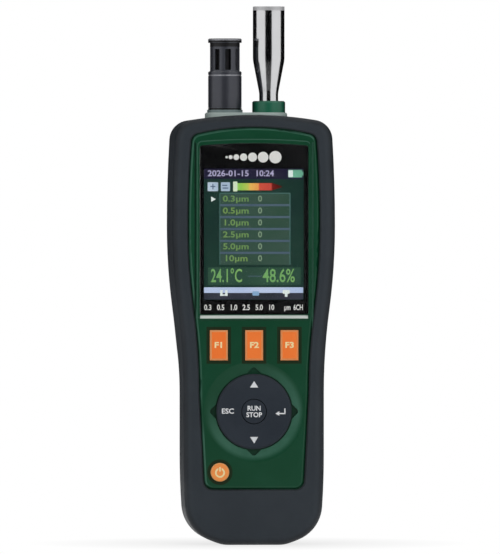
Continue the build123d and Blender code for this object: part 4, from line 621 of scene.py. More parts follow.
DISPLAY = Lit("display_ground", "lcd_screen", tone(20, 48, 42), tone(26, 56, 46), 0.25)
MESH = Metal("sleeve_mesh", "sensor_plastic", (0.05, 0.05, 0.055), (0.08, 0.08, 0.085), 0.45, 0.1, Lay.CAST)


def lit(name: str, near: Tuple[int, int, int], far: Optional[Tuple[int, int, int]] = None) -> Lit:
    """Makes a glow of the display from one or two screen colours."""
    return Lit("lit_" + name, "lcd_screen", tone(*near), tone(*far) if far else None)


WHITE_LIGHT = lit("white", (236, 246, 242))
SLATE_LIGHT = lit("slate", (82, 102, 116), (74, 94, 112))

NODE_FINISHES: Dict[Finish, str] = {
    GRIP: "rubber_grip port_flap", GREEN: "front_housing", COLLAR: "probe_collar", REAR: "rear_housing battery_door",
    PLINTH: "top_plinth", PANE: "display_window", GLASS: "camera_window collimating_lens", LAMP: "lamp_lenses",
    FOAM: "display_gasket", SEAL: "sensor_seals keypad_mat navigation_web", DISPLAY: "lcd_panel", FRAME: "lcd_frame",
    LAMINATE: "main_board camera_board sensor_board climate_sensor_element",
    SPRING: "dome_switches flap_pin battery_contacts pump_rotor",
    TINNED: "processor_shield usb_port card_socket photodetector pump_motor",
    BLACK: "buzzer power_jack camera_bezel camera_module light_trap pump_body",
    ZINC: "board_screws housing_screws battery_door_screw chamber_screws climate_sensor_nut",
    KEY: "function_key_1 function_key_2 function_key_3", POWER_KEY: "power_key", PAD: "navigation_pad run_stop_key",
    WRAP: "battery_pack", POLISHED: "sampling_probe", GRAPHITE: "climate_sensor_base climate_sensor_cage",
    BRASS: "tripod_bush laser_module", ANODISED: "optical_chamber chamber_cover", MIRROR: "collecting_mirror",
    FILTER: "exhaust_filter", TUBE: "inlet_tube outlet_tube exhaust_tube",
}


# ---------------------------------------------------------------------------
# Modelling by hand
# ---------------------------------------------------------------------------
FaceTest = Callable[[bmesh.types.BMFace], bool]
EdgeTest = Callable[[bmesh.types.BMEdge], bool]
FRONTWARD = (math.pi / 2, 0.0, 0.0)
UPRIGHT = (0.0, 0.0, 0.0)


def every(_: object) -> bool:
    """Chooses every face or edge."""
    return True


def deep(length: float) -> EdgeTest:
    """Chooses the edges that run more than a length in mm from front to back."""
    return lambda edge: abs(edge.verts[0].co.y - edge.verts[1].co.y) > length * MM


class Bench:
    """The modelling operations, each leaving its piece at the origin with its place in its mesh."""

    def __init__(self, effects: Effects) -> None:
        """Keeps the shared effects for the finishes."""
        self.effects = effects

    @staticmethod
    def clear() -> None:
        """Goes to object mode with nothing selected."""
        if bpy.context.object is not None and bpy.context.object.mode != "OBJECT":
            bpy.ops.object.mode_set(mode="OBJECT")
        bpy.ops.object.select_all(action="DESELECT")

    def pick(self, *pieces: bpy.types.Object) -> None:
        """Selects these pieces alone, the first one active.

        Args:
            pieces: The pieces.
        """
        self.clear()
        for piece in pieces:
            piece.select_set(True)
        bpy.context.view_layer.objects.active = pieces[0]

    def settle(self, name: str) -> bpy.types.Object:
        """Names the piece just made and puts its place into its mesh.

        Args:
            name: Its name.

        Returns:
            The piece.
        """
        piece = bpy.context.object
        piece.name = piece.data.name = name
        self.pick(piece)
        bpy.ops.object.transform_apply(location=True, rotation=True, scale=True)
        return piece

    def block(self, name: str, centre: Sequence[float], size: Sequence[float],
              turn: Sequence[float] = UPRIGHT) -> bpy.types.Object:
        """Starts a piece from a cube.

        Args:
            name: Its name.
            centre: Its middle, in mm.
            size: Its full width, depth and height, in mm.
            turn: Its turn, in radians.

        Returns:
            The piece.
        """
        self.clear()
        bpy.ops.mesh.primitive_cube_add(size=1.0, location=[c * MM for c in centre], rotation=turn)
        bpy.context.object.scale = [s * MM for s in size]
        return self.settle(name)

    def round(self, name: str, centre: Sequence[float], radius: float, depth: float, sides: int = 48,
              turn: Sequence[float] = FRONTWARD) -> bpy.types.Object:
        """Starts a piece from a cylinder, whose axis runs front to back unless it is turned.

        Args:
            name: Its name.
            centre: Its middle, in mm.
            radius: Its radius, in mm.
            depth: Its length, in mm.
            sides: How many sides it has.
            turn: Its turn, in radians.

        Returns:
            The piece.
        """
        self.clear()
        bpy.ops.mesh.primitive_cylinder_add(vertices=sides, radius=radius * MM, depth=depth * MM,
                                            location=[c * MM for c in centre], rotation=turn)
        return self.settle(name)

    def lettering(self, name: str, words: str, centre: Sequence[float], size: float, thick: float,
                  widen: float = 1.0, bold: float = 0.07) -> bpy.types.Object:
        """Makes raised lettering that faces the front.

        Args:
            name: The piece's name.
            words: What it says.
            centre: The middle of the words, in mm.
            size: The size of the letters, in mm.
            thick: How thick the ink stands, in mm.
            widen: How much wider than usual the letters are.
            bold: How much wider each stroke is on either side, in mm.

        Returns:
            The piece.
        """
        self.clear()
        bpy.ops.object.text_add(location=[c * MM for c in centre], rotation=FRONTWARD)
        made = bpy.context.object
        made.data.body = words
        made.data.align_x = made.data.align_y = "CENTER"
        made.data.size = size * MM
        made.data.offset = bold * MM
        made.data.extrude = thick * MM / 2
        made.data.resolution_u = 3
        made.scale = (widen, 1.0, 1.0)
        bpy.ops.object.convert(target="MESH")
        return self.settle(name)

    @contextmanager
    def edit(self, piece: bpy.types.Object, faces: Optional[FaceTest] = None,
             edges: Optional[EdgeTest] = None) -> Iterator[None]:
        """Opens a piece in edit mode with the chosen faces or edges selected, and closes it again.

        Args:
            piece: The piece.
            faces: Says which faces to select.
            edges: Says which edges to select.

        Yields:
            Nothing, while the piece is open.
        """
        self.pick(piece)
        bpy.ops.object.mode_set(mode="EDIT")
        bpy.ops.mesh.select_mode(type="FACE" if faces else "EDGE")
        bpy.ops.mesh.select_all(action="DESELECT")
        mesh = bmesh.from_edit_mesh(piece.data)
        for part in (mesh.faces if faces else mesh.edges):
            part.select_set((faces or edges)(part))
        bmesh.update_edit_mesh(piece.data)
        yield
        bpy.ops.object.mode_set(mode="OBJECT")

    def bevel(self, piece: bpy.types.Object, edges: EdgeTest, width: float, segments: int) -> None:
        """Rounds the chosen edges by a width in mm with so many faces."""
        with self.edit(piece, edges=edges):
            bpy.ops.mesh.bevel(offset=width * MM, segments=segments, affect="EDGES")

    def modifier(self, piece: bpy.types.Object, kind: str, **settings: object) -> None:
        """Adds a modifier and applies it.

        Args:
            piece: The piece.
            kind: The modifier's type.
            settings: Its properties.
        """
        self.pick(piece)
        made = piece.modifiers.new(kind.lower(), kind)
        for name, value in settings.items():
            setattr(made, name, value)
        bpy.ops.object.modifier_apply(modifier=made.name)

    def join(self, name: str, pieces: Sequence[bpy.types.Object]) -> bpy.types.Object:
        """Joins pieces of one finish into one.

        Args:
            name: The joined piece's name.
            pieces: The pieces.

        Returns:
            The joined piece.
        """
        self.pick(*pieces)
        if len(pieces) > 1:
            bpy.ops.object.join()
        made = bpy.context.object
        made.name = made.data.name = name
        return made

    def copy(self, piece: bpy.types.Object, name: str) -> bpy.types.Object:
        """Copies a piece with its own mesh, without its ties to the record, and joins its loose triangles.

        Args:
            piece: The piece to copy.
            name: The copy's name.

        Returns:
            The copy.
        """
        made = piece.copy()
        made.data = piece.data.copy()
        for key in [k for k in made.keys() if k.startswith("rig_")]:
            del made[key]
        made.parent = None
        made.name = name
        bpy.context.scene.collection.objects.link(made)
        self.pick(made)
        bpy.ops.object.mode_set(mode="EDIT")
        bpy.ops.mesh.select_all(action="SELECT")
        bpy.ops.mesh.remove_doubles(threshold=0.000001)
        bpy.ops.object.mode_set(mode="OBJECT")
        return made

    def finish(self, piece: bpy.types.Object, finish: Finish, body: str, angle: float = 30.0) -> None:
        """Dresses a new piece and lets it ride on a body.

        Args:
            piece: The piece.
            finish: Its finish.
            body: The body that it rides on.
            angle: The edge angle below which it is smooth, in degrees.
        """
        piece.data.materials.clear()
        piece.data.materials.append(finish.material(self.effects))
        self.pick(piece)
        bpy.ops.object.shade_smooth_by_angle(angle=math.radians(angle))
        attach(piece, body)
        LOG.info("made %s: %d faces", piece.name, len(piece.data.polygons))


# ---------------------------------------------------------------------------
# Sub-assemblies
# ---------------------------------------------------------------------------
@dataclass
class CarriedParts:
    """The CAD nodes that keep their shape and get their finish here."""

    bench: Bench

    def build(self) -> None:
        """Dresses every carried-over node."""
        finishes = {name: finish for finish, names in NODE_FINISHES.items() for name in names.split()}
        for name, node in sorted(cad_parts.items()):
            for place in range(len(node.material_slots)):
                node.material_slots[place].material = finishes[name].material(self.bench.effects)
            LOG.info("dressed %s as %s", name, finishes[name].name)


@dataclass
class DisplayWindow:
    """The printed border behind the clear pane, the marks on it and the bright strip below it, a painted highlight on
    the sill.
    """

    bench: Bench
    back_y: float = -24.4
    view_width: float = 44.6
    view_height: float = 58.5
    view_z: float = 138.9
    view_corner: float = 0.5
    print_lift: float = 0.06
    print_thick: float = 0.05
    print_shrink: Tuple[float, float, float] = (0.994, 1.0, 0.996)
    ink_thick: float = 0.03
    ink_lift: float = 0.005
    dots: int = 7
    dot_first: float = 0.55
    dot_last: float = 2.75
    dot_row_z: float = 173.3
    dot_row_left: float = -12.8
    dot_row_right: float = 12.3
    label_z: float = 106.1
    label_size: float = 3.4
    sizes_x: float = -6.6
    sizes_widen: float = 0.82
    unit_x: float = 17.7
    unit_widen: float = 0.66
    sill_foot: Tuple[float, float] = (-27.1, 101.2)
    sill_head: Tuple[float, float] = (-25.9, 103.1)
    sill_width: float = 48.3
    sill_thick: float = 0.09
    sill_place: float = 0.37
    sill_share: float = 0.7
    groove_x: float = 26.3
    groove_low: float = 82.1
    groove_high: float = 179.9
    groove_width: float = 0.62
    groove_floor: float = -25.95

    def border(self) -> None:
        """Cuts the black border from the pane's own outline and opens it over the display."""
        sheet = self.bench.copy(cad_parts["display_window"], "window_border")
        low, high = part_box("display_window")
        back = self.back_y - self.print_lift
        self.bench.pick(sheet)
        bpy.ops.object.mode_set(mode="EDIT")
        for y, away in ((back - self.print_thick, "clear_inner"), (back, "clear_outer")):
            bpy.ops.mesh.select_all(action="SELECT")
            bpy.ops.mesh.bisect(plane_co=(0, y * MM, 0), plane_no=(0, 1, 0), use_fill=True, **{away: True})
        bpy.ops.mesh.select_all(action="SELECT")
        bpy.ops.transform.resize(value=self.print_shrink, center_override=(low + high) / 2)
        bpy.ops.mesh.normals_make_consistent(inside=False)
        bpy.ops.object.mode_set(mode="OBJECT")
        opening = self.bench.block("opening", (0, self.back_y, self.view_z), (self.view_width, 4.0, self.view_height))
        self.bench.bevel(opening, deep(3), self.view_corner, 3)
        self.bench.modifier(sheet, "BOOLEAN", operation="DIFFERENCE", object=opening, solver="EXACT")
        bpy.data.objects.remove(opening)
        self.bench.finish(sheet, PRINT_BLACK, "instrument")

    def marks(self) -> None:
        """Prints a row of growing dots above the display and the channel sizes below it."""
        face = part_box("display_window")[0].y / MM - self.ink_thick / 2 - self.ink_lift
        row = []
        spread = [self.dot_first + (self.dot_last - self.dot_first) * i / (self.dots - 1) for i in range(self.dots)]
        free = (self.dot_row_right - self.dot_row_left - 2 * sum(spread)) / (self.dots - 1)
        x = self.dot_row_left
        for radius in spread:
            x += radius
            dot = self.bench.round("dot", (x, face, self.dot_row_z), radius, self.ink_thick, 40)
            self.bench.bevel(dot, lambda e: not deep(0.0001)(e), 0.008, 1)
            row.append(dot)
            x += radius + free
        self.bench.finish(self.bench.join("window_dots", row), WHITE_INK, "instrument")
        words = [self.bench.lettering("label", text, (x, face, self.label_z), self.label_size, self.ink_thick, widen)
                 for text, x, widen in (("0.3   0.5   1.0   2.5   5.0   10", self.sizes_x, self.sizes_widen),
                                        ("µm  6CH", self.unit_x, self.unit_widen))]
        self.bench.finish(self.bench.join("window_sizes", words), WHITE_INK, "instrument")

    def sill(self) -> None:
        """Lays the bright strip on the sloping sill, a painted highlight."""
        low, high = Vector(self.sill_foot), Vector(self.sill_head)
        run = high - low
        middle = low + run * self.sill_place + Vector((-run.y, run.x)).normalized() * (self.sill_thick / 2 + 0.01)
        tilt = -math.atan2(run.x, run.y)
        strip = self.bench.block("window_sill_highlight", (0, middle.x, middle.y),
                                 (self.sill_width, self.sill_thick, run.length * self.sill_share), (tilt, 0.0, 0.0))
        self.bench.bevel(strip, every, 0.03, 2)
        self.bench.finish(strip, SILL_HIGHLIGHT, "instrument")

    def grooves(self) -> None:
        """Paints the floors of the two long grooves beside the window: painted shade in the left one and painted
        light in the right one.
        """
        for side, name, paint in ((-1, "groove_shade_left", GROOVE), (1, "groove_light_right", GROOVE_LIT)):
            strip = self.bench.block(name, (side * self.groove_x, self.groove_floor - 0.03,
                                            (self.groove_low + self.groove_high) / 2),
                                     (self.groove_width, 0.04, self.groove_high - self.groove_low))
            self.bench.bevel(strip, deep(0.02), self.groove_width * 0.45, 3)
            self.bench.finish(strip, paint, "instrument")

    def build(self) -> None:
        """Makes the border, the marks, the painted highlight on the sill and the painted shade and light in the
        grooves.
        """
        self.border()
        self.marks()
        self.sill()
        self.grooves()


@dataclass
class ScreenPicture:
    """The lit picture on the display: status row, level bar, table, readings and soft-key row."""

    bench: Bench
    face_y: float = -22.4
    layer_step: float = 0.015
    layer_thick: float = 0.012
    left: float = -22.3
    right: float = 22.3
    top: float = 168.15
    status_height: float = 4.6
    level_z: float = 160.1
    row_pitch: float = 5.33
    table_left: float = -15.1
    table_right: float = 16.3
    table_top: float = 157.2
    table_rows: Tuple[str, ...] = ("0.3µm", "0.5µm", "1.0µm", "2.5µm", "5.0µm", "10µm")
    letter: float = 3.7
    readout_top: float = 124.1
    readout_foot: float = 116.2
    readout_letter: float = 8.4

    def tile(self, x: float, z: float, width: float, height: float, layer: int = 1,
             corner: float = 0.0) -> bpy.types.Object:
        """Makes one flat patch of the picture.

        Args:
            x: Its middle across, in mm.
            z: Its middle height, in mm.
            width: Its width, in mm.
            height: Its height, in mm.
            layer: Which layer it lies in, 1 lowest.
            corner: The radius of its corners, in mm.

        Returns:
            The patch.
        """
        centre = (x, self.face_y - self.layer_step * layer, z)
        patch = self.bench.block("tile", centre, (width, self.layer_thick, height))
        if corner:
            self.bench.bevel(patch, deep(0.001), corner, 3)
        return patch

    def words(self, words: str, x: float, z: float, size: float, widen: float = 1.0) -> bpy.types.Object:
        """Writes on the picture, with the middle of the words at x and z, in mm."""
        centre = (x, self.face_y - self.layer_step * 3, z)
        return self.bench.lettering("words", words, centre, size, self.layer_thick, widen)

    def place(self, name: str, finish: Finish, *parts: bpy.types.Object) -> None:
        """Joins the parts of one colour and dresses them."""
        self.bench.finish(self.bench.join(name, parts), finish, "instrument", 20.0)

    def status(self) -> None:
        """Makes the status row with the date, the time and the battery."""
        middle = self.top - self.status_height / 2
        line = middle + 0.1
        self.place("screen_status_row", lit("navy", (36, 32, 62), (30, 26, 50)),
                   self.tile(0, middle, self.right - self.left, self.status_height))
        self.place("screen_status_words", lit("lavender", (186, 180, 214)),
                   self.words("2026-01-15", -11.3, line, self.letter, 1.08),
                   self.words("10:24", 4.9, line, self.letter, 1.04))
        self.place("screen_battery_case", lit("mint", (120, 190, 160), (96, 160, 132)),
                   self.tile(18.6, line, 6.3, 3.4, 2, 0.35), self.tile(22.0, line, 0.5, 1.6, 2))
        self.place("screen_battery_charge", WHITE_LIGHT, self.tile(16.6, line, 2.0, 3.0, 3, 0.2))

    def level(self) -> None:
        """Makes the two square signs and the level bar."""
        middle = self.level_z
        self.place("screen_signs", lit("ice", (206, 222, 236), (176, 196, 216)),
                   self.tile(-18.2, middle, 4.7, 4.0, 2, 0.4), self.tile(-12.6, middle, 4.1, 4.0, 2, 0.4))
        self.place("screen_sign_marks", lit("steel", (84, 104, 132)),
                   self.tile(-18.2, middle + 0.1, 2.2, 0.5, 3), self.tile(-18.2, middle, 0.5, 2.4, 3),
                   self.tile(-12.9, middle + 0.6, 2.2, 0.5, 3), self.tile(-12.6, middle - 0.6, 2.6, 0.5, 3))
        bar = self.tile(-0.2, middle, 17.0, 3.2, 2)
        with self.bench.edit(bar, faces=lambda f: f.normal.x > 0.9):
            bpy.ops.mesh.extrude_region_move(TRANSFORM_OT_translate={"value": (4.5 * MM, 0, 0)})
            bpy.ops.transform.resize(value=(1.0, 1.0, 0.08), center_override=(0, self.face_y * MM, middle * MM))
        self.place("screen_level_bar", Spectrum("lit_spectrum", "lcd_screen", left=-8.7 * MM, right=12.8 * MM), bar)
        self.place("screen_level_marker", lit("pale_green", (222, 240, 206)),
                   self.tile(-8.2, middle + 0.1, 1.9, 4.4, 3, 0.25))

    def row_z(self, row: int) -> float:
        """Gives the middle height of a row of the table, in mm."""
        return self.table_top - (row + 0.5) * self.row_pitch

    def table(self) -> None:
        """Makes the table of channel sizes and counts."""
        width = self.table_right - self.table_left
        centre = (self.table_left + self.table_right) / 2
        height = self.row_pitch * len(self.table_rows)
        middle = self.table_top - height / 2
        self.place("screen_table_ground", lit("moss", (48, 78, 62), (58, 84, 72)),
                   self.tile(centre, middle, width, height))
        self.place("screen_table_lines", SLATE_LIGHT,
                   *[self.tile(centre, self.table_top - i * self.row_pitch, width, 1.0, 2)
                     for i in range(1, len(self.table_rows))])
        self.place("screen_table_edge", lit("sea", (84, 122, 120), (70, 110, 104)),
                   self.tile(centre, self.table_top, width, 0.4, 2),
                   self.tile(self.table_right, middle, 0.4, height, 2),
                   self.tile(self.table_left, middle, 0.3, height, 2))
        self.place("screen_table_sizes", lit("olive", (124, 158, 84), (110, 150, 90)),
                   *[self.words(size, -7.9, self.row_z(row) + 0.1, self.letter, 1.25)
                     for row, size in enumerate(self.table_rows)])
        self.place("screen_table_counts", lit("sage", (134, 160, 132)),
                   *[self.words("0", 2.9, self.row_z(row) + 0.1, self.letter) for row in range(len(self.table_rows))])
        arrow = self.bench.round("arrow", (-18.3, self.face_y - self.layer_step * 2, self.row_z(0)), 1.35,
                                 self.layer_thick, 3, (math.pi / 2, math.pi / 2, 0.0))
        self.place("screen_row_arrow", WHITE_LIGHT, arrow)

    def readings(self) -> None:
        """Makes the band with the two large readings and the row above the keys."""
        middle = (self.readout_top + self.readout_foot) / 2
        self.place("screen_readout_band", lit("fern", (42, 74, 60), (50, 84, 66)),
                   self.tile(0.4, middle, 41.6, self.readout_top - self.readout_foot))
        self.place("screen_readings", lit("leaf", (140, 190, 106), (120, 176, 104)),
                   self.words("24.1°C", -12.1, middle - 0.1, self.readout_letter, 0.6),
                   self.words("48.6%", 11.3, middle - 0.1, self.readout_letter, 0.72))
        self.place("screen_readout_line", SLATE_LIGHT, self.tile(0.6, middle, 6.0, 0.35, 2))
        self.place("screen_key_row_light", lit("sky", (186, 204, 238), (200, 214, 244)),
                   self.tile(0, 113.9, 44.4, 2.5, 2))
        self.place("screen_key_row_shade", lit("dusk", (58, 60, 74), (40, 44, 52)), self.tile(0, 111.2, 44.4, 2.9))
        self.place("screen_key_signs", WHITE_LIGHT, self.tile(-14.4, 112.6, 1.1, 2.6, 3),
                   self.tile(-12.2, 112.6, 1.1, 2.6, 3), self.tile(-13.3, 111.7, 3.4, 0.6, 3),
                   self.tile(14.6, 113.1, 3.2, 1.7, 3, 0.5), self.tile(14.6, 111.7, 1.2, 1.6, 3))
        self.place("screen_key_sign_middle", lit("blue", (140, 178, 216)), self.tile(1.0, 112.4, 3.0, 1.9, 3, 0.4))

    def build(self) -> None:
        """Makes the whole picture."""
        self.status()
        self.level()
        self.table()
        self.readings()


@dataclass
class KeyLegends:
    """The printing on the keys and the pad."""

    bench: Bench
    pad_z: float = 59.7
    pad_face: float = -27.4
    ink: float = 0.05
    surround: float = 0.42
    panel_y: float = -26.4
    power_ring: float = 1.85
    power_stroke: float = 0.38

    @staticmethod
    def spot(node: str) -> Tuple[float, float, float]:
        """Finds the middle of a key's front face, in mm."""
        low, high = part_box(node)
        return ((low.x + high.x) / 2 / MM, low.y / MM, (low.z + high.z) / 2 / MM)

    def functions(self) -> None:
        """Prints the names of the three function keys."""
        for number in (1, 2, 3):
            x, y, z = self.spot(f"function_key_{number}")
            legend = self.bench.lettering(f"legend_f{number}", f"F{number}", (x, y - 0.01, z), 3.6, self.ink, 1.2,
                                          0.12)
            self.bench.modifier(legend, "BEVEL", width=0.00006, segments=1, limit_method="ANGLE")
            self.bench.finish(legend, PALE_INK, f"f{number}_key")

    def surrounds(self) -> None:
        """Lays a thin dark border on the panel round each orange key, a painted shadow."""
        borders = []
        for node in ("function_key_1", "function_key_2", "function_key_3", "power_key"):
            low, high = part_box(node)
            x, _, z = self.spot(node)
            width, height = (high.x - low.x) / MM + 0.1, (high.z - low.z) / MM + 0.1
            self.bench.clear()
            if node == "power_key":
                bpy.ops.mesh.primitive_circle_add(vertices=64, radius=width / 2 * MM, fill_type="NGON",
                                                  rotation=FRONTWARD)
            else:
                bpy.ops.mesh.primitive_plane_add(size=1.0, rotation=FRONTWARD)
                bpy.context.object.scale = (width * MM, height * MM, 1.0)
            bpy.context.object.location = (x * MM, (self.panel_y - 0.01) * MM, z * MM)
            border = self.bench.settle("border")
            with self.bench.edit(border, faces=every):
                bpy.ops.mesh.extrude_region_move()
                bpy.ops.transform.resize(value=(1 + 2 * self.surround / width, 1.0, 1 + 2 * self.surround / height),
                                         center_override=(x * MM, 0, z * MM))
                bpy.ops.mesh.delete(type="ONLY_FACE")
            self.bench.modifier(border, "SOLIDIFY", thickness=0.04 * MM, offset=0.0)
            borders.append(border)
        self.bench.finish(self.bench.join("key_painted_shadows", borders), KEY_SHADE, "instrument")

    def power(self) -> None:
        """Prints the power sign: an open ring and a bar."""
        middle = self.spot("power_key")
        x, y, z = (part * MM for part in middle)
        self.bench.clear()
        bpy.ops.mesh.primitive_torus_add(major_segments=40, minor_segments=10, major_radius=self.power_ring * MM,
                                         minor_radius=self.power_stroke * MM, rotation=FRONTWARD,
                                         location=(x, y, z - 0.2 * MM))
        ring = self.bench.settle("ring")
        with self.bench.edit(ring, faces=lambda f: f.calc_center_median().z > z + 0.5 * MM
                             and abs(f.calc_center_median().x - x) < 0.75 * MM):
            bpy.ops.mesh.delete(type="FACE")
            bpy.ops.mesh.select_mode(type="EDGE")
            bpy.ops.mesh.select_all(action="SELECT")
            bpy.ops.mesh.fill_holes(sides=12)
            bpy.ops.mesh.select_all(action="SELECT")
            bpy.ops.transform.resize(value=(1.0, 0.2, 1.0), center_override=(x, y, z))
        bar = self.bench.block("bar", (middle[0], middle[1], middle[2] + 1.35), (0.65, 0.1, 2.1))
        self.bench.bevel(bar, deep(0.05), 0.2, 3)
        self.bench.finish(self.bench.join("legend_power", [ring, bar]), PALE_INK, "power_button")

    def wrap(self, piece: bpy.types.Object, target: str) -> None:
        """Lays a flat legend on the hollow face of a key.

        Args:
            piece: The legend.
            target: The node that it lies on.
        """
        self.bench.modifier(piece, "SHRINKWRAP", target=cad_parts[target], wrap_method="PROJECT",
                            use_project_y=True, use_positive_direction=True, use_negative_direction=True,
                            offset=0.00002)
        self.bench.modifier(piece, "SOLIDIFY", thickness=self.ink * MM, offset=-1.0)

    def ahead(self, x: float, z: float) -> Tuple[float, float, float]:
        """Gives a place half a millimetre in front of the pad, from mm."""
        return (x, self.pad_face - 0.5, z)

    def word(self, words: str, x: float, z: float, size: float, widen: float) -> bpy.types.Object:
        """Makes a flat word in front of the pad, with its middle at x and z, in mm."""
        return self.bench.lettering("word", words, self.ahead(x, z), size, 0.0, widen)

    def arrow(self, x: float, z: float, radius: float, turn: float, squeeze: float) -> bpy.types.Object:
        """Makes a flat triangle in front of the pad.

        Args:
            x: Its middle across, in mm.
            z: Its middle height, in mm.
            radius: Its radius, in mm.
            turn: Its turn from pointing up, in radians.
            squeeze: How much lower than an even triangle it is.

        Returns:
            The triangle.
        """
        self.bench.clear()
        bpy.ops.mesh.primitive_circle_add(vertices=3, radius=radius * MM, fill_type="NGON",
                                          rotation=(math.pi / 2, turn, 0.0),
                                          location=[part * MM for part in self.ahead(x, z)])
        made = self.bench.settle("arrow")
        with self.bench.edit(made, faces=every):
            bpy.ops.transform.resize(value=(1.0, 1.0, squeeze), center_override=(x * MM, 0, z * MM))
            bpy.ops.mesh.subdivide(number_cuts=4)
        return made

    def bar(self, x: float, z: float, width: float, height: float) -> bpy.types.Object:
        """Makes a flat bar in front of the pad.

        Args:
            x: Its middle across, in mm.
            z: Its middle height, in mm.
            width: Its width, in mm.
            height: Its height, in mm.

        Returns:
            The bar.
        """
        self.bench.clear()
        bpy.ops.mesh.primitive_plane_add(size=1.0, rotation=FRONTWARD,
                                         location=[part * MM for part in self.ahead(x, z)])
        bpy.context.object.scale = (width * MM, height * MM, 1.0)
        made = self.bench.settle("bar")
        with self.bench.edit(made, faces=every):
            bpy.ops.mesh.subdivide(number_cuts=3)
        return made

    def pad(self) -> None:
        """Prints the arrows and the words on the pad and its middle key."""
        z = self.pad_z
        signs = self.bench.join("legend_pad", [
            self.arrow(0.0, z + 11.7, 2.1, 0.0, 0.92), self.arrow(0.0, z - 12.3, 2.1, math.pi, 0.92),
            self.word("ESC", -11.8, z + 0.1, 3.2, 1.06), self.arrow(10.7, z - 0.9, 1.15, -math.pi / 2, 1.0),
            self.bar(12.6, z - 0.9, 2.8, 0.55), self.bar(13.75, z + 0.2, 0.55, 2.4)])
        self.wrap(signs, "navigation_pad")
        self.bench.finish(signs, KEY_INK, "pad")
        middle = self.bench.join("legend_run_stop", [self.word("RUN", 0.0, z + 1.35, 3.0, 0.98),
                                                     self.word("STOP", 0.0, z - 1.55, 3.0, 0.98)])
        self.wrap(middle, "run_stop_key")
        self.bench.finish(middle, KEY_INK, "centre_key")

    def build(self) -> None:
        """Prints every key."""
        self.surrounds()
        self.functions()
        self.power()
        self.pad()


@dataclass
class ClimateSensor:
    """The mesh sleeve inside the sensor's cage and the bands, rings and flange round the sensor: the bright rings are
    painted highlights and the dark bands under the cap painted shade.
    """

    bench: Bench
    x: float = -11.5
    radius: float = 4.7
    low: float = 212.6
    high: float = 223.4
    strands: int = 36
    crossings: int = 26
    strand: float = 0.16
    ring_z: float = 210.1
    ring_radius: float = 7.32
    cap_low: float = 224.7
    cap_radius: float = 7.53
    cage_radius: float = 6.69
    foot: float = 193.4
    flange_radius: float = 7.97

    def sleeve(self) -> None:
        """Makes the woven sleeve behind the slots."""
        core = self.bench.round("sensor_sleeve", (self.x, 0, (self.low + self.high) / 2), self.radius,
                                self.high - self.low, self.strands, UPRIGHT)
        with self.bench.edit(core, faces=lambda f: abs(f.normal.z) > 0.9):
            bpy.ops.mesh.inset(thickness=0.5 * MM)
        with self.bench.edit(core, edges=lambda e: abs(e.verts[0].co.z - e.verts[1].co.z) > 5 * MM):
            bpy.ops.mesh.subdivide(number_cuts=self.crossings)
        self.bench.modifier(core, "WIREFRAME", thickness=self.strand * MM, use_replace=False, use_even_offset=True)
        self.bench.finish(core, MESH, "instrument")

    def hoop(self, name: str, low: float, high: float, radius: float, finish: Finish, wall: float = 0.12) -> None:
        """Lays a thin hoop round the sensor.

        Args:
            name: Its name.
            low: Its lower edge, in mm.
            high: Its upper edge, in mm.
            radius: Its outer radius, in mm.
            finish: Its finish.
            wall: How thick it is, in mm.
        """
        ring = self.bench.round(name, (self.x, 0, (low + high) / 2), radius, high - low, 96, UPRIGHT)
        with self.bench.edit(ring, faces=lambda f: abs(f.normal.z) > 0.9):
            bpy.ops.mesh.delete(type="FACE")
        self.bench.modifier(ring, "SOLIDIFY", thickness=wall * MM, offset=-1.0)
        self.bench.finish(ring, finish, "instrument")

    def trim(self) -> None:
        """Sets the bright rings, which are painted highlights, the dark bands, of which the two under the cap are
        painted shade, and the pale flange at the foot.
        """
        # painted highlight on the barrel's top rim and the cap's top edge; painted shade in the two bands under the
        # cap
        self.hoop("sensor_ring_highlight", self.ring_z - 0.28, self.ring_z + 0.28, self.ring_radius, TRIM_HIGHLIGHT)
        self.hoop("sensor_cap_shade", self.cap_low + 0.15, self.cap_low + 1.0, self.cap_radius, BAND)
        self.hoop("sensor_cap_rim_highlight", self.cap_low + 1.05, self.cap_low + 1.6, self.cap_radius, TRIM_HIGHLIGHT)
        self.hoop("sensor_foot_flange", self.foot + 0.02, self.foot + 1.2, self.flange_radius, FLANGE, 0.44)
        self.hoop("sensor_foot_band", self.foot + 1.25, self.foot + 1.95, self.cap_radius, BAND)
        self.hoop("sensor_neck_shade", self.cap_low - 1.75, self.cap_low - 0.05, self.cage_radius, BAND)

    def build(self) -> None:
        """Makes the sleeve and the trim."""
        self.sleeve()
        self.trim()


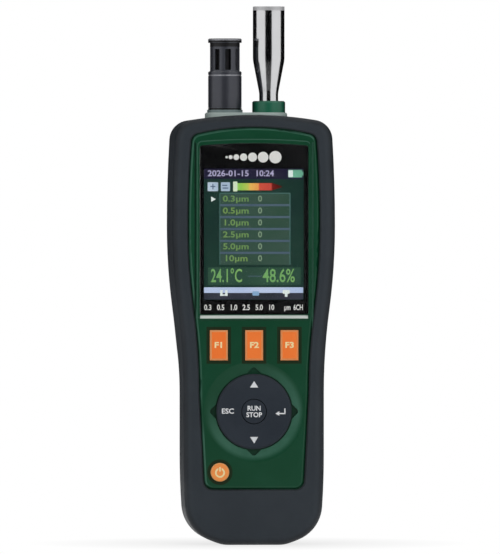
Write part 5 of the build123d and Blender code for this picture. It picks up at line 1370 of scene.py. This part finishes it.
# ---------------------------------------------------------------------------
# Studio
# ---------------------------------------------------------------------------
@dataclass
class Studio:
    """Floor, light, dark flags for the polished metal, and the camera."""

    bench: Bench
    azimuth: float = -3.5
    elevation: float = 0.4
    distance: float = 5.0
    frame_height: float = 0.2487
    sensor: float = 36.0
    aim: Tuple[float, float, float] = (-0.0002, 0.0, 0.1196)
    floor_radius: float = 3.0
    sky: float = 0.22
    box_angle: float = 26.0
    box_power: float = 4.5
    box_radius: float = 1.0
    flag_reach: float = 0.45
    flag_low: float = 0.001
    flag_high: float = 0.6
    flags: Tuple[Tuple[str, float, float], ...] = (
        ("front_flag", -24.0, 24.0), ("left_flag", -178.0, -98.0), ("right_flag", 98.0, 178.0))

    def toward(self, azimuth: float, elevation: float = 0.0) -> Vector:
        """Gives the direction from the object at an angle from straight in front.

        Args:
            azimuth: The angle round the object, in degrees; 90 is its right side.
            elevation: The angle above the horizon, in degrees.

        Returns:
            The direction.
        """
        a, e = math.radians(azimuth), math.radians(elevation)
        return Vector((math.sin(a) * math.cos(e), -math.cos(a) * math.cos(e), math.sin(e)))

    def place(self, name: str, way: Vector, distance: float) -> bpy.types.Object:
        """Names the camera or light just made and puts it a distance from the object, looking at it.

        Args:
            name: Its name.
            way: The direction in which it stands.
            distance: How far away it stands, in metres.

        Returns:
            The camera or light.
        """
        made = bpy.context.object
        made.name = name
        made.location = Vector(self.aim) + way * distance
        made.rotation_mode = "QUATERNION"
        made.rotation_quaternion = (-way).to_track_quat("-Z", "Y")
        return made

    def camera(self) -> None:
        """Makes the camera."""
        self.bench.clear()
        bpy.ops.object.camera_add()
        eye = self.place("eye", self.toward(self.azimuth, self.elevation), self.distance)
        eye.data.sensor_width = self.sensor
        eye.data.lens = self.sensor * self.distance / self.frame_height
        eye.data.clip_start, eye.data.clip_end = 0.05, 50.0
        bpy.context.scene.camera = eye

    @staticmethod
    def seen(wires: Wiring) -> Socket:
        """Tells the rays that see white from the rays that light the object.

        Args:
            wires: The wiring of the floor or the world.

        Returns:
            1 for rays from the camera, off a gloss or through glass, and 0 for the others.
        """
        path = wires.node("LightPath").outputs
        return wires.sum("MAXIMUM", path["Is Camera Ray"],
                         wires.sum("MAXIMUM", path["Is Glossy Ray"], path["Is Transmission Ray"]))

    @staticmethod
    def mix(wires: Wiring, share: Feed, first: bpy.types.Node, second: bpy.types.Node, sink: str) -> None:
        """Sends a mix of two shaders to an output: a share of 0 gives the first and 1 the second."""
        mixed = wires.node("MixShader", feeds={0: share, 1: first.outputs[0], 2: second.outputs[0]})
        wires.node(sink, feeds={"Surface": mixed.outputs[0]})

    def floor(self) -> None:
        """Makes the pale floor, which keeps the shadow near the object and turns plain white far away."""
        self.bench.clear()
        bpy.ops.mesh.primitive_circle_add(vertices=64, radius=self.floor_radius, fill_type="NGON")
        ground = self.bench.settle("studio_floor")
        made = bpy.data.materials.new("studio_floor")
        made.use_nodes = True
        wires = Wiring(made.node_tree)
        paper = wires.node("BsdfDiffuse", feeds={"Color": (0.86, 0.86, 0.86)})
        white = wires.node("Emission", feeds={"Color": (1.0, 1.0, 1.0), "Strength": 1.0})
        away = wires.node("VectorMath", {"operation": "LENGTH"}, {0: wires.node("TexCoord").outputs["Object"]})
        share = wires.node("MapRange", feeds={"Value": away.outputs["Value"], "From Min": 0.03, "From Max": 0.1,
                                              "To Min": 0.78, "To Max": 1.0})
        self.mix(wires, wires.times(self.seen(wires), share.outputs["Result"]), paper, white, "OutputMaterial")
        ground.data.materials.append(made)

    def backdrop(self) -> None:
        """Makes the world: white where it is seen, and an even pale light on the object."""
        world = bpy.context.scene.world = bpy.data.worlds.new("studio_world")
        world.use_nodes = True
        wires = Wiring(world.node_tree)
        light, white = [wires.node("Background", feeds={"Color": (1.0, 1.0, 1.0), "Strength": strength})
                        for strength in (self.sky, 1.0)]
        self.mix(wires, self.seen(wires), light, white, "OutputWorld")

    def softbox(self, name: str, azimuth: float, elevation: float, size: Tuple[float, float], share: float) -> None:
        """Makes one soft light.

        Args:
            name: Its name.
            azimuth: Where it stands round the object from the camera, in degrees.
            elevation: How high it stands, in degrees.
            size: Its width and height, in metres.
            share: Its power as a share of the usual power.
        """
        self.bench.clear()
        bpy.ops.object.light_add(type="AREA")
        lamp = self.place(name, self.toward(self.azimuth + azimuth, elevation), self.box_radius)
        lamp.data.shape = "RECTANGLE"
        lamp.data.size, lamp.data.size_y = size
        lamp.data.energy = self.box_power * share
        lamp.visible_glossy = False

    @staticmethod
    def black() -> bpy.types.Material:
        """Makes the flags' dull black, or returns the one made before.

        Returns:
            The material.
        """
        made = bpy.data.materials.get("studio_flag")
        if made is None:
            made = bpy.data.materials.new("studio_flag")
            made.use_nodes = True
            sockets = made.node_tree.nodes["Principled BSDF"].inputs
            sockets["Base Color"].default_value = (0.008, 0.008, 0.009, 1.0)
            sockets["Roughness"].default_value = 0.9
            sockets["Specular IOR Level"].default_value = 0.0
        return made

    def flag(self, name: str, start: float, end: float) -> None:
        """Stands a curved dark card beside the object, which only reflections see.

        Args:
            name: Its name.
            start: Where it starts round the object from the camera, in degrees.
            end: Where it ends, in degrees.
        """
        self.bench.clear()
        bpy.ops.mesh.primitive_cylinder_add(vertices=180, radius=self.flag_reach, end_fill_type="NOTHING",
                                            depth=self.flag_high - self.flag_low,
                                            location=(0, 0, (self.flag_low + self.flag_high) / 2))
        card = self.bench.settle(name)
        way = self.toward(self.azimuth + (start + end) / 2).to_2d()
        least = math.cos(math.radians((end - start) / 2))
        with self.bench.edit(card, faces=lambda f: f.calc_center_median().to_2d().normalized().dot(way) < least):
            bpy.ops.mesh.delete(type="FACE")
        card.data.materials.append(self.black())
        card.visible_camera = False
        card.visible_diffuse = False
        card.visible_shadow = False

    def build(self) -> None:
        """Sets the studio up."""
        self.floor()
        self.backdrop()
        self.softbox("left_box", -self.box_angle, 2.0, (0.55, 1.1), 0.82)
        self.softbox("right_box", self.box_angle, 2.0, (0.55, 1.1), 1.18)
        self.softbox("back_box", 180.0, 30.0, (0.8, 0.8), 0.7)
        for name, start, end in self.flags:
            self.flag(name, start, end)
        self.camera()
        bpy.context.scene.view_settings.view_transform = "Standard"


def main() -> None:
    """Builds the sub-assemblies in order."""
    logging.basicConfig(level=logging.INFO, format="%(name)s: %(message)s")
    bench = Bench(Effects())
    for assembly in (CarriedParts(bench), DisplayWindow(bench), ScreenPicture(bench), KeyLegends(bench),
                     ClimateSensor(bench), Studio(bench)):
        assembly.build()
        LOG.info("finished %s", type(assembly).__name__)


if __name__ == "__main__":
    main()
